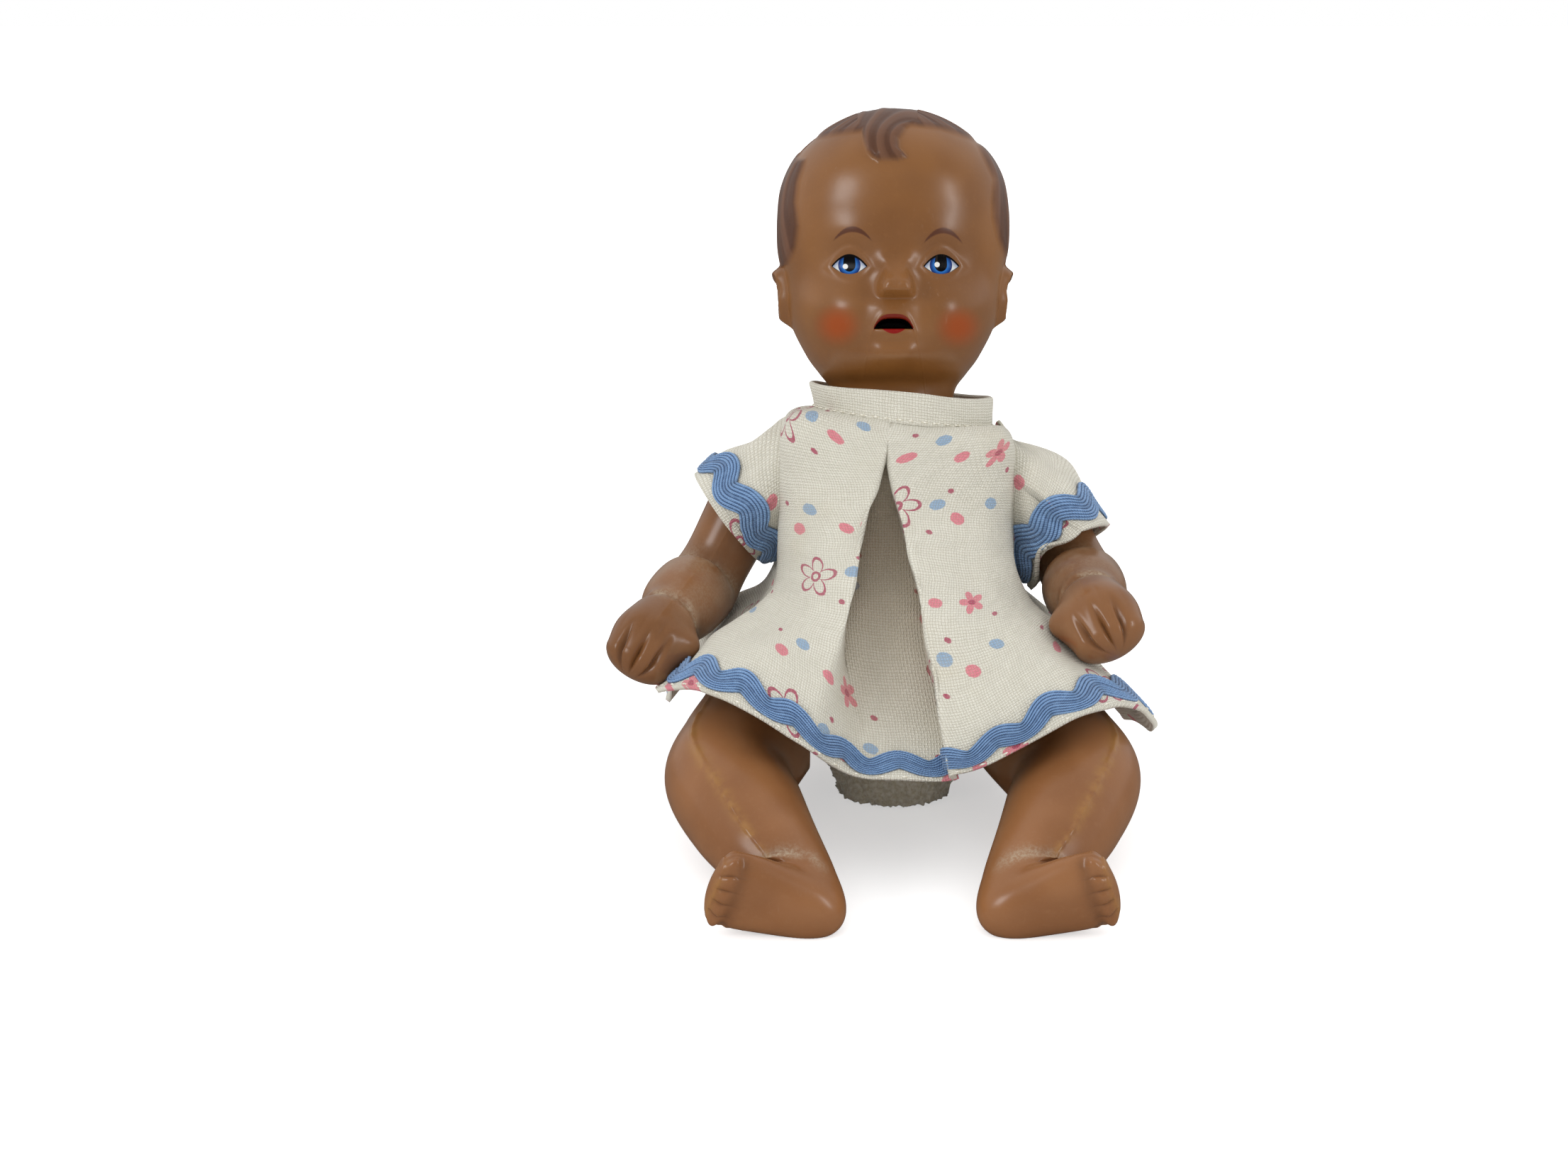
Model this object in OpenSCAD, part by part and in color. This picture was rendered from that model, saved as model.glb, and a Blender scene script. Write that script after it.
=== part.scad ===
// Jointed celluloid baby doll in a cotton dress, as an assembly of separate pieces.
// Millimetres. Z is up, the doll faces -Y and its own right side is on -X.
// The origin is on the floor under the hip line, in the middle of the flat seat.

/* [Pose] */
// Lean of the torso and head behind upright, degrees
lean = 16; // [8:0.5:22]
// Forward swing of the right arm in the seated pose, degrees
right_arm_swing = 8; // [6:1:30]
// Forward swing of the left arm in the seated pose, degrees
left_arm_swing = 25; // [24:1:30]
// Turn of the right forearm away from the body, degrees
right_arm_twist = 10; // [0:1:15]
// Turn of the left forearm away from the body, degrees
left_arm_twist = -11; // [-12:1:5]
// Downward pitch of the legs in the seated pose, degrees
leg_pitch = 9; // [8:0.5:9.5]

/* [Head] */
// Head height from the neck edge to the crown
head_h = 45; // [43:0.1:47]
// Head width across the temples
head_w = 36; // [34:0.1:37]
// Depth of the face in front of the mould seam
face_d = 17.6; // [16:0.1:19]
// Depth of the skull behind the mould seam
skull_d = 20.8; // [19:0.1:22]

/* [Torso] */
// Height of the hip axis above the floor
hip_z = 14; // [13.5:0.1:15]
// Distance from the hip axis to the shoulder axis
shoulder_z = 32.8; // [32:0.1:34]
// Distance from the hip axis to the flat top of the torso
torso_top = 44.5; // [44:0.1:46]
// Torso width between the shoulder flats
shoulder_w = 35; // [34:0.1:36]
// Torso width between the hip flats
hip_w = 24.2; // [23:0.1:25]
// Depth of the belly in front of the mould seam
belly_d = 14.2; // [13:0.1:15]
// Depth of the back behind the mould seam
back_d = 14.6; // [13:0.1:15.5]

/* [Arms] */
// Diameter of the shoulder ball
shoulder_d = 12; // [11.4:0.1:12.4]
// Shoulder axis to elbow
upper_arm = 17.5; // [16.5:0.1:18.5]
// Thickness of the upper arm
upper_arm_d = 11.2; // [10.5:0.1:11.8]
// Elbow to wrist
forearm = 16; // [15:0.1:17]
// Thickness of the forearm
forearm_d = 11; // [10:0.1:12]
// Thickness at the wrist crease
wrist_d = 8.8; // [8:0.1:10]
// Width of the fist
hand_w = 11.6; // [10.5:0.1:12.4]
// Sideways splay of the upper arms, degrees
arm_splay = 27; // [24:0.5:30]

/* [Legs] */
// Hip to knee
thigh = 30; // [28:0.1:32]
// Thickness of the thigh
thigh_d = 19.6; // [18:0.1:20.4]
// Thickness of the knee
knee_d = 18.2; // [17:0.1:19]
// Knee to ankle
shin = 22.5; // [21:0.1:24]
// Thickness at the ankle
ankle_d = 12; // [11:0.1:13]
// Heel to toe length of the foot
foot_len = 19.5; // [18.5:0.1:21]
// Width of the foot across the toes
foot_w = 11.6; // [10.5:0.1:12.6]
// Outward roll of the bend plane of the legs, degrees
leg_roll = 19; // [16:0.5:22]

/* [Celluloid and joints] */
// Wall of the celluloid shells
wall = 1.1; // [0.9:0.05:1.3]
// Radius of the turned boss in its bore
boss_r = 3.5; // [3:0.1:4]
// Radial running clearance of a boss in its bore
run_gap = 0.05; // [0.02:0.01:0.08]
// Gap between a bearing flange and the torso
face_gap = 0.3; // [0.25:0.05:0.5]
// Thickness of the bearing flange of a leg
flange_t = 0.8; // [0.6:0.1:1]
// Thickness of the bearing flange of an arm
arm_flange_t = 1.4; // [1.2:0.1:1.6]
// Radius of the groove neck the elastic loops round
groove_r = 1.6; // [1.4:0.1:1.8]
// Thickness of the elastic cord
cord_d = 1.8; // [1.6:0.1:2]

/* [Clothes] */
// Thickness of the dress cotton with its turnings
cloth = 0.6; // [0.5:0.05:0.7]
// Shift of the neckband towards the doll's left
neck_shift = 0.4; // [0:0.1:0.5]
// Lowering of the neckband on the doll's left per millimetre across
neck_tilt = 0.04; // [0.02:0.01:0.05]
// Radius of the neckband
collar_r = 13.3; // [13:0.1:14]
// Height of the neckband
collar_h = 5.5; // [5:0.1:5.8]
// Width of the dress across the shoulders
yoke_w = 37.4; // [37:0.1:37.8]
// Width across the front corners of the hem
hem_w = 71; // [69:0.5:74]
// Reach of the hem in front of the hip line
hem_front = 42; // [40:0.5:44]
// Reach of the hem behind the hip line
hem_back = 36; // [32:0.5:38]
// Height of the hem above the floor at the centre front
hem_drop = 17; // [16:0.5:20]
// Lowering of the dress on the doll's left per millimetre across
dress_skew = 0.03; // [0:0.01:0.04]
// Depth of the inverted pleat at the hem
pleat_d = 4.5; // [3:0.5:5]
// How much further the left sleeve has slipped down its arm
left_sleeve_drop = 2.5; // [0:0.5:3]
// Radius of the armhole
armhole_r = 8.3; // [8.1:0.1:8.6]
// Overall width of the rickrack
trim_w = 5.6; // [5:0.1:6]
// Length of one wave of the rickrack
trim_wave = 8.7; // [8:0.1:9.5]
// Width of the rickrack ribbon itself
ribbon_w = 3; // [2.6:0.1:3.2]
// Thickness of the rickrack ribbon
ribbon_t = 0.8; // [0.6:0.1:1]
// Thickness of the terry nappy
nappy_t = 1.4; // [1.2:0.1:1.6]

/* [Hidden] */
$fn = 48;
// Space kept between cloth pieces and what they lie on
ease = 0.3;
shoulder_flat = shoulder_w/2;
hip_flat = hip_w/2;
arm_flat = shoulder_flat + face_gap + arm_flange_t;
leg_flat = hip_flat + face_gap + flange_t;
arm_x = arm_flat + upper_arm_d/2 - 3.4;
leg_x = leg_flat + min(5.4, 16 - 0.54*thigh_d);
bore_r = boss_r + run_gap;
neck_boss_r = boss_r + 2.5;
cord_r = cord_d/2;
ring_r = groove_r + 0.15 + cord_r;
groove_w = cord_d + 0.4;
knob_r = groove_r + 1.2;
knob_t = 1.2;
strand_off = knob_r + cord_r + 0.15;
seat_gap = nappy_t + ease;
head_foot = torso_top + face_gap + flange_t + 0.4;
head_c = head_foot + head_h*0.535;
collar_z = torso_top - 2.7;
shoulder_at = tw([0, 0, shoulder_z]);

// Turning points about the axes, and from the leaning torso frame to the floor frame
function rx(p, a) = [p[0], p[1]*cos(a) - p[2]*sin(a), p[1]*sin(a) + p[2]*cos(a)];
function ry(p, a) = [p[0]*cos(a) + p[2]*sin(a), p[1], p[2]*cos(a) - p[0]*sin(a)];
function rz(p, a) = [p[0]*cos(a) - p[1]*sin(a), p[0]*sin(a) + p[1]*cos(a), p[2]];
function tw(p) = rx(p, -lean) + [0, 0, hip_z];
module in_torso() { translate([0, 0, hip_z]) rotate([-lean, 0, 0]) children(); }

// Smooth curve through a list of stations
function spline(a, b, c, d, t) =
  0.5*(2*b + (c - a)*t + (2*a - 5*b + 4*c - d)*t*t + (3*b - a - 3*c + d)*t*t*t);
function along(list, u) =
  let (n = len(list) - 1, x = min(max(u, 0), 1)*n, i = min(floor(x), n - 1))
  spline(list[max(i - 1, 0)], list[i], list[i + 1], list[min(i + 2, n)], x - i);
function bump(d, s) = exp(-(d*d)/(2*s*s));
function ease_in(a, b, x) = let (t = min(max((x - a)/(b - a), 0), 1)) t*t*(3 - 2*t);
function clamp(x, a, b) = min(max(x, a), b);

// Closed shell between an outer and an inner patch; the inner one has half the steps
function gi(i, j, n, m, p0, p1) =
  let (first = p0 ? 1 : m + 1)
  i == 0 ? (p0 ? 0 : j) : (i == n && p1) ? first + (n - 1)*(m + 1) : first + (i - 1)*(m + 1) + j;
function grid_points(f, n, m, p0, p1) =
  [for (i = [0:n]) each ((i == 0 && p0) || (i == n && p1)) ? [f(i/n, 0)] : [for (j = [0:m]) f(i/n, j/m)]];
function grid_faces(n, m, p0, p1, at, flip) =
  [for (i = [0:n-1], j = [0:m-1])
    let (a = at + gi(i, j, n, m, p0, p1), b = at + gi(i, j + 1, n, m, p0, p1),
         c = at + gi(i + 1, j + 1, n, m, p0, p1), d = at + gi(i + 1, j, n, m, p0, p1))
    each [if (a != b) (flip ? [a, c, b] : [a, b, c]), if (c != d) (flip ? [a, d, c] : [a, c, d])]];
function border(n, m, p0, p1, at) =
  [if (!p0) for (j = [0:m-1]) at + gi(0, j, n, m, p0, p1),
   for (i = [0:n-1]) at + gi(i, m, n, m, p0, p1),
   if (!p1) for (j = [0:m-1]) at + gi(n, m - j, n, m, p0, p1),
   for (i = [0:n-1]) at + gi(n - i, 0, n, m, p0, p1)];
function rim_faces(o, q, flip) =
  [for (k = [0:len(q)-1])
    let (a = o[2*k], b = o[2*k + 1], c = o[(2*k + 2) % len(o)], d = q[k], e = q[(k + 1) % len(q)])
    each flip ? [[a, d, b], [b, e, c], [b, d, e]] : [[a, b, d], [b, c, e], [b, e, d]]];
module patch_shell(outer, inner, n, m, p0 = false, p1 = false, flip = false) {
  a = grid_points(outer, n, m, p0, p1);
  b = grid_points(inner, n/2, m/2, p0, p1);
  polyhedron(points = concat(a, b), faces = concat(
    grid_faces(n, m, p0, p1, 0, flip), grid_faces(n/2, m/2, p0, p1, len(a), !flip),
    rim_faces(border(n, m, p0, p1, 0), border(n/2, m/2, p0, p1, len(a)), !flip)), convexity = 6);
}
// Closed tube between an outer and an inner skin, open or pointed at its first end
function loop_index(i, j, m, p0) = p0 ? (i == 0 ? 0 : 1 + (i - 1)*m + j % m) : i*m + j % m;
function loop_points(f, n, m, p0) =
  [for (i = [0:n]) each (i == 0 && p0) ? [f(0, 0)] : [for (j = [0:m-1]) f(i/n, j/m)]];
function loop_faces(n, m, p0, at, flip) =
  [for (i = [0:n-1], j = [0:m-1])
    let (a = at + loop_index(i, j, m, p0), b = at + loop_index(i, j + 1, m, p0),
         c = at + loop_index(i + 1, j + 1, m, p0), d = at + loop_index(i + 1, j, m, p0))
    each [if (a != b) (flip ? [a, c, b] : [a, b, c]), flip ? [a, d, c] : [a, c, d]]];
function ring_faces(i, m, p0, at, flip) =
  [for (j = [0:m-1])
    let (a = loop_index(i, j, m, p0), b = loop_index(i, j + 1, m, p0))
    each flip ? [[a, at + b, b], [a, at + a, at + b]] : [[a, b, at + b], [a, at + b, at + a]]];
module tube_shell(outer, inner, n, m, p0 = false, flip = false) {
  a = loop_points(outer, n, m, p0);
  b = loop_points(inner, n, m, p0);
  polyhedron(points = concat(a, b), faces = concat(
    loop_faces(n, m, p0, 0, flip), loop_faces(n, m, p0, len(a), !flip),
    p0 ? [] : ring_faces(0, m, p0, len(a), !flip), ring_faces(n, m, p0, len(a), flip)), convexity = 6);
}

// Rounded cross-section given by half width, front depth and back depth; p squares it
function ring_at(a, w, f, b, p) =
  let (s = sin(a), c = cos(a), d = c > 0 ? f : b,
       r = pow(pow(abs(s)/w, p) + pow(abs(c)/d, p), -1/p))
  [r*s, -r*c];

// Head: profile rows of height, half width, front depth and back depth as shares of the head's sizes
head_rows = [[-0.535, 0.516, 0.53, 0.457], [-0.485, 0.555, 0.56, 0.471], [-0.44, 0.64, 0.73, 0.49],
  [-0.376, 0.755, 0.885, 0.555], [-0.257, 0.895, 0.943, 0.72], [-0.128, 0.93, 0.932, 0.88],
  [0, 0.985, 0.96, 0.976], [0.128, 0.985, 1, 1], [0.236, 0.93, 0.965, 0.94], [0.332, 0.78, 0.82, 0.8],
  [0.407, 0.54, 0.58, 0.57], [0.452, 0.28, 0.3, 0.29], [0.465, 0, 0, 0]];
// Face relief pushed forward at x across and z up from the head centre
function face_relief(x, z) =
  2.1*bump(x - 0.1, 1.9)*bump(z + 8.1, 1.8) + 0.6*bump(abs(x - 0.1) - 2.2, 1)*bump(z + 9, 1.3)
  + 0.8*bump(x - 0.1, 1.9)*bump(z + 5.2, 2.3) + 1.3*bump(abs(x) - 9.6, 3.3)*bump(z + 11, 3.1)
  + 1.2*bump(x + 0.4, 3.6)*bump(z + 18, 2) + 0.8*bump(x + 0.5, 3)*bump(z + 12, 0.9)
  + 0.8*bump(x + 0.5, 2.3)*bump(z + 15.3, 0.9) - 2.6*bump(x + 0.5, 2.3)*bump(z + 13.7, 0.9)
  - 1.1*bump(abs(x + 0.4) - 6.9, 3.2)*bump(z + 4.7, 2.2) + 0.4*bump(abs(x + 0.4) - 6.9, 1.9)*bump(z + 4.7, 1.2)
  + 0.4*bump(abs(x + 0.4) - 6.9, 3)*bump(z - 0.4, 1.5) + 0.9*bump(x + 2, 2)*bump(z - 11.4, 2);
function ear_relief(y, z) = 2.2*bump(y - 1.2, 1.9)*exp(-pow(abs(z + 7.8)/4.4, 4));
function head_pt(u, a, inset) =
  let (r = along(head_rows, u), z = r[0]*head_h*(1 - 0) - (inset > 0 ? inset*clamp(r[0]*2.2, 0, 1) : 0),
       q = ring_at(a, max(r[1]*head_w/2 - inset, 0.001), max(r[2]*face_d - inset, 0.001),
                   max(r[3]*skull_d - inset, 0.001), 2),
       fr = cos(a) > 0 ? face_relief(q[0], z)*ease_in(0, 0.45, cos(a)) : 0,
       er = ear_relief(q[1], z)*ease_in(0.6, 0.95, abs(sin(a)))*(sin(a) > 0 ? 1 : -1))
  tw([q[0] + (inset > 0 ? 0 : er), q[1] - (inset > 0 ? max(fr, 0)*0.5 - 2*min(fr, 0)*0 : fr), head_c + z]);
module head_half(front) {
  a0 = front ? -90 : 90;
  patch_shell(function(u, v) u == 1 ? tw([0, 0, head_c + 0.465*head_h]) : head_pt(u, a0 + 180*v, 0),
    function(u, v) u == 1 ? tw([0, 0, head_c + 0.465*head_h - wall]) : head_pt(u, a0 + 180*v, wall),
    30, front ? 28 : 14, false, true, true);
}

// Torso: rows of height, half width, front depth and back depth in the leaning frame
torso_rows = [[-12.6, 0, 0, 0], [-11.8, 6.6, 7, 7], [-9, 10.4, 10.6, 11.6], [-4, 12.8, 12.6, back_d - 0.4],
  [3, 13.4, belly_d - 1, back_d], [12, 15.4, belly_d, back_d - 1.4], [22, 16.6, belly_d - 0.2, back_d - 2.4],
  [30, shoulder_flat + 0.4, belly_d - 1.4, back_d - 2.8], [shoulder_z + 3.4, shoulder_flat + 0.4, 11.3, 11.4],
  [torso_top - 3.6, 13.4, 10.4, 10.6], [torso_top - 1, 10.2, 9.6, 9.6], [torso_top, 9.3, 9.3, 9.3],
  [torso_top, 4, 4, 4], [torso_top, 0, 0, 0]];
function side_limit(z) = clamp(hip_flat + (z - 10.5)*1.6, hip_flat, shoulder_flat);
function torso_pt(u, a, inset) =
  let (r = along(torso_rows, u), dz = r[0] > torso_top - 2 ? inset : r[0] < -9 ? -inset : 0,
       z = min(r[0], torso_top) - dz, k = r[1] < inset + 0.1 ? 0.001 : 1,
       q = ring_at(a, max(r[1] - inset, 0.001), max(r[2] - inset, 0.001), max(r[3] - inset, 0.001), 2.3),
       p = tw([clamp(q[0], -side_limit(z) + inset, side_limit(z) - inset), q[1], z]))
  [p[0], p[1], max(p[2], seat_gap + inset)];
module torso_half(front) {
  a0 = front ? -90 : 90;
  patch_shell(function(u, v) u == 1 ? tw([0, 0, torso_top]) : torso_pt(u, a0 + 180*v, 0),
    function(u, v) u == 1 ? tw([0, 0, torso_top - wall]) : torso_pt(u, a0 + 180*v, wall),
    28, 14, true, true, true);
}
module torso_bores() {
  in_torso() {
    translate([0, 0, shoulder_z]) rotate([0, 90, 0]) rotate([0, 0, 130]) cylinder(r = bore_r, h = 60, center = true);
    rotate([0, 90, 0]) rotate([0, 0, 130]) cylinder(r = bore_r, h = 60, center = true);
    translate([0, 0, torso_top - 6]) rotate([0, 0, 130]) cylinder(r = neck_boss_r + run_gap, h = 12);
  }
}

// Limb skin: stations are centre, heading, half thickness and half width in the bend plane
function limb_ring(st, d0, d1, inset, u) =
  let (a = 0.1, b = 0.88, s = along(st, (u - a)/(b - a)),
       k0 = u < a ? sin(90*u/a) : 1, k1 = u > b ? cos(90*(u - b)/(1 - b)) : 1,
       e0 = u < a ? -(d0 - inset)*cos(90*u/a) : 0, e1 = u > b ? (d1 - inset)*sin(90*(u - b)/(1 - b)) : 0,
       t = [cos(s[2]), sin(s[2])])
  [s[0] + t[0]*(e0 + e1), s[1] + t[1]*(e0 + e1), s[2],
   max(s[3] - inset, 0.2)*k0*k1, max(s[4] - inset, 0.2)*k0*k1];
function limb_pt(g, t, k) =
  [g[0] - sin(g[2])*g[3]*cos(t)*k, g[1] + cos(g[2])*g[3]*cos(t)*k, g[4]*sin(t)*k];
// Grooves between the fingers or toes, at shares of the width
function grooves(s, list) = max([for (c = list) bump(s - c, 0.085)]);

elbow_at = [upper_arm, 4];
fore_dir = [cos(76), sin(76)];
wrist_at = elbow_at + forearm*fore_dir;
hand_dir = [cos(58), sin(58)];
arm_stations = [
  [0, 0, 0, shoulder_d/2, shoulder_d/2],
  [upper_arm*0.42, 0.4, 4, upper_arm_d/2, upper_arm_d/2],
  [upper_arm*0.78, 1.2, 20, upper_arm_d/2 - 0.2, upper_arm_d/2 - 0.3],
  [elbow_at[0] + 0.4, elbow_at[1] - 0.6, 48, forearm_d/2 + 0.3, forearm_d/2],
  [elbow_at[0] + fore_dir[0]*forearm*0.35, elbow_at[1] + fore_dir[1]*forearm*0.35, 74, forearm_d/2, forearm_d/2],
  [elbow_at[0] + fore_dir[0]*forearm*0.75, elbow_at[1] + fore_dir[1]*forearm*0.75, 76, forearm_d/2 - 0.3, forearm_d/2 - 0.3],
  [wrist_at[0], wrist_at[1], 72, wrist_d/2, wrist_d/2],
  [wrist_at[0] + hand_dir[0]*3.4, wrist_at[1] + hand_dir[1]*3.4, 64, hand_w/2 - 0.8, hand_w/2 - 0.6],
  [wrist_at[0] + hand_dir[0]*7.2, wrist_at[1] + hand_dir[1]*7.2, 50, hand_w/2 - 0.6, hand_w/2],
  [wrist_at[0] + hand_dir[0]*10 + 1.2, wrist_at[1] + hand_dir[1]*10 - 1, 20, hand_w/2 - 1.4, hand_w/2 - 0.3]];
function arm_pt(u, t, inset, twist, swing) =
  let (g = limb_ring(arm_stations, shoulder_d/2, 3.2, inset, u),
       m = inset > 0 ? 0 : ease_in(0.7, 0.8, u)*ease_in(-0.5, 0.3, cos(t)),
       q = limb_pt(g, t, 1 - 0.13*m*grooves(sin(t), [-0.48, 0, 0.48])),
       w = rx(ry(rz([q[2], -q[1], -q[0]], twist), -arm_splay), -swing) + [arm_x, 0, 0])
  [max(w[0], arm_flat + inset), w[1] + shoulder_at[1], w[2] + shoulder_at[2]];
module arm_half(twist, swing, outer) {
  a0 = outer ? 0 : 180;
  patch_shell(function(u, v) arm_pt(u, a0 + 180*v, 0, twist, swing),
    function(u, v) arm_pt(u, a0 + 180*v, wall, twist, swing), 26, 12, true, true, false);
}

knee_at = [thigh, 7];
ankle_at = [thigh + shin*0.96, -2.6];
foot_front = ankle_at[0] + 7.2;
leg_stations = [
  [0, 1, 0, thigh_d/2 - 0.4, thigh_d/2 - 0.6],
  [thigh*0.33, 1.8, 5, thigh_d/2, thigh_d/2],
  [thigh*0.7, 4.8, 8, thigh_d/2 - 0.2, thigh_d/2 - 0.1],
  [knee_at[0], knee_at[1], -4, knee_d/2, knee_d/2],
  [knee_at[0] + shin*0.36, knee_at[1] - 3, -22, knee_d/2 - 0.7, knee_d/2 - 0.5],
  [knee_at[0] + shin*0.7, knee_at[1] - 6.6, -22, ankle_d/2 + 1.3, ankle_d/2 + 1],
  [ankle_at[0], ankle_at[1], -6, ankle_d/2 + 0.4, ankle_d/2 - 0.2],
  [ankle_at[0] + 3.6, ankle_at[1] - 0.6, 26, foot_len*0.37, foot_w/2 - 0.9],
  [foot_front - 2.2, ankle_at[1] + foot_len*0.08, 60, foot_len*0.22, foot_w/2 - 0.7],
  [foot_front - 1.6, ankle_at[1] + foot_len*0.3, 76, foot_len*0.155, foot_w/2 - 0.1],
  [foot_front - 1.2, ankle_at[1] + foot_len*0.47, 84, foot_len*0.125, foot_w/2]];
function leg_pt(u, t, inset) =
  let (g = limb_ring(leg_stations, thigh_d/2 - 0.6, 2.4, inset, u),
       m = inset > 0 ? 0 : ease_in(0.86, 0.92, u),
       q = limb_pt(g, t, 1 - 0.1*m*grooves(sin(t), [-0.66, -0.32, 0, 0.36])),
       w = rx(ry([q[1], -q[0], q[2]], -leg_roll), leg_pitch) + [leg_x, 0, hip_z])
  [u < 0.45 ? max(w[0], leg_flat + inset) : w[0], w[1], max(w[2], inset)];
module leg_half(upper) {
  a0 = upper ? 0 : 180;
  patch_shell(function(u, v) leg_pt(u, a0 + 180*v, 0),
    function(u, v) leg_pt(u, a0 + 180*v, wall), 26, 12, true, true, true);
}

// Turned stud about its own axis: bearing flange, boss, groove neck and knob, from z = 0 down
module stud(flange_r, br, ft, through) {
  b = -ft - through;
  rotate_extrude() polygon([[0, 0], [flange_r, 0], [flange_r, -ft], [br, -ft], [br, b],
    [groove_r, b], [groove_r, b - groove_w], [knob_r, b - groove_w],
    [knob_r, b - groove_w - knob_t + 0.4], [knob_r - 0.4, b - groove_w - knob_t], [0, b - groove_w - knob_t]]);
}
boss_through = face_gap + wall + 0.4;
groove_in = wall + 0.4 + groove_w/2;
module side_stud(side, z, flat, fr, ft) {
  in_torso() translate([side*flat, 0, z]) rotate([0, side*90, 0]) stud(fr, boss_r, ft, boss_through);
}
module cross_elastic(z, flat) {
  x = flat - groove_in;
  in_torso() translate([0, 0, z]) {
    for (s = [-1, 1]) {
      translate([s*x, 0, 0]) rotate([0, 90, 0]) rotate_extrude() translate([ring_r, 0]) circle(cord_r, $fn = 24);
      translate([-x, 0, s*strand_off]) rotate([0, 90, 0]) cylinder(r = cord_r, h = 2*x, $fn = 24);
    }
  }
}

// Dress: one drape surface from the neckline at u = 0 to the hem at u = 1, a is the turn from the front
function neck_ring(a) = tw([neck_shift + collar_r*sin(a), -collar_r*cos(a), collar_z + (1 - cos(a))])
  + [0, 0, (dress_skew - neck_tilt)*collar_r*sin(a)];
function yoke_ring(a) = let (q = ring_at(a, yoke_w/2, 15.6, 14.6, 4))
  tw([q[0], q[1], shoulder_z + 5.4 + 3.3*pow(abs(sin(a)), 2)]);
function chest_ring(a) = let (q = ring_at(a, yoke_w/2 - 1.1, 20, 17.4, 3.2)) tw([q[0], q[1], shoulder_z - 7]);
function mid_ring(a) = let (q = ring_at(a, yoke_w/2 + (a > 0 ? 0.4 : 0.85), hem_front - 14, hem_back - 11, 3), k = abs(a))
  [q[0], q[1] + 1, hem_drop + 18 - 4.5*ease_in(40, 90, k) - 4.5*ease_in(90, 180, k)];
function lap_ring(a) = let (q = ring_at(a, yoke_w/2 + 9.4, hem_front - 5, hem_back - 5, 3.2), k = abs(a))
  [q[0], q[1], hem_drop + 7.4 + (thigh_d/2 - 6.2)*ease_in(8, 34, k) - (thigh_d/2 - 3.4)*ease_in(42, 76, k) - 6*ease_in(90, 160, k)];
function hem_ring(a) = let (q = ring_at(a, hem_w/2, hem_front, hem_back, 3.6), k = abs(a))
  [q[0], q[1], hem_drop + (thigh_d/2 - 0.8)*ease_in(6, 36, k) - (thigh_d/2 + 4.2)*ease_in(39, 60, k) - 7*ease_in(90, 150, k)];
function pleat(u, x) = pleat_d*ease_in(0.1, 0.8, u)*(1 - ease_in(0.8, 1.15, abs(x)/(0.6 + 9.2*u)));
function drape(u, a) =
  let (p = along([neck_ring(a), yoke_ring(a), chest_ring(a), mid_ring(a), lap_ring(a), hem_ring(a)], u),
       k = u*u*(1.1*cos(a*7 + 20) + 0.5*cos(a*13))*ease_in(10, 30, abs(a)),
       r = [sin(a), -cos(a), 0.25])
  p + r*k*0.8 + [0, 0.8, -0.6]*(abs(a) < 60 ? pleat(u, p[0]) : 0) - [0, 0, dress_skew*p[0]];
function unit(v) = v/max(norm(v), 0.000001);
function drape_normal(u, a) =
  let (e = 0.02, du = drape(min(u + e, 1), a) - drape(max(u - e, 0), a), da = drape(u, a + 2) - drape(u, a - 2))
  unit(cross(du, da));
function dress_pt(u, a, off) = drape(u, a) + drape_normal(u, a)*off;
function front_angle(v) = let (s = 2*v - 1) 90*(0.6*s + 0.4*s*s*s);
module armholes() {
  for (s = [-1, 1]) translate([s*26, shoulder_at[1], shoulder_at[2]])
    rotate([0, 90, 0]) cylinder(r = armhole_r, h = 20, center = true);
}
module dress_panel(angle, n, m) {
  difference() {
    patch_shell(function(u, v) dress_pt(u, angle(v), cloth/2),
      function(u, v) dress_pt(u, angle(v), -cloth/2), n, m, false, false, false);
    armholes();
  }
}

// Sleeve: from the round armhole to the tilted cuff, in the arm's own frame about the shoulder point
function sleeve_skin(u, f, off, swing, drop) =
  let (root = [arm_flat + 0.1, (armhole_r + 0.2)*cos(f), (armhole_r + 0.2)*sin(f)],
       reach = 8.9 + 1.8*drop,
       cc = [arm_x + reach*sin(arm_splay) + 0.3, -0.6 - drop*1.1, -reach*cos(arm_splay) + 2.3],
       arm_r = upper_arm_d/2,
       cuff = cc + [(arm_r + (sin(f) > 0 ? -0.4 : 0.6*drop - 0.85))*sin(f), (arm_r + 2.7 + 0.55*drop)*cos(f),
               (arm_r + (sin(f) > 0 ? 0.2 : 0.35 + 0.5*drop))*sin(f)],
       n0 = [0, cos(f), sin(f)], n1 = unit([0.7*sin(f), cos(f), 0.72*sin(f)]),
       p = root*(1 - u) + cuff*u + unit([0.55*max(sin(f), 0), cos(f), sin(f)])*(sin(f) > 0 ? 1.6 + 0.3*drop : 0.3)*ease_in(0.02, 0.45, u)*ease_in(1.05, 0.55, u)
         + unit(n0*(1 - u) + n1*u)*off)
  rx(p, -swing) + [0, shoulder_at[1], shoulder_at[2]];
module sleeve(swing, drop) {
  tube_shell(function(u, v) sleeve_skin(u, 360*v, cloth/2, swing, drop),
    function(u, v) sleeve_skin(u, 360*v, -cloth/2, swing, drop), 6, 20, false, true);
}

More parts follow.
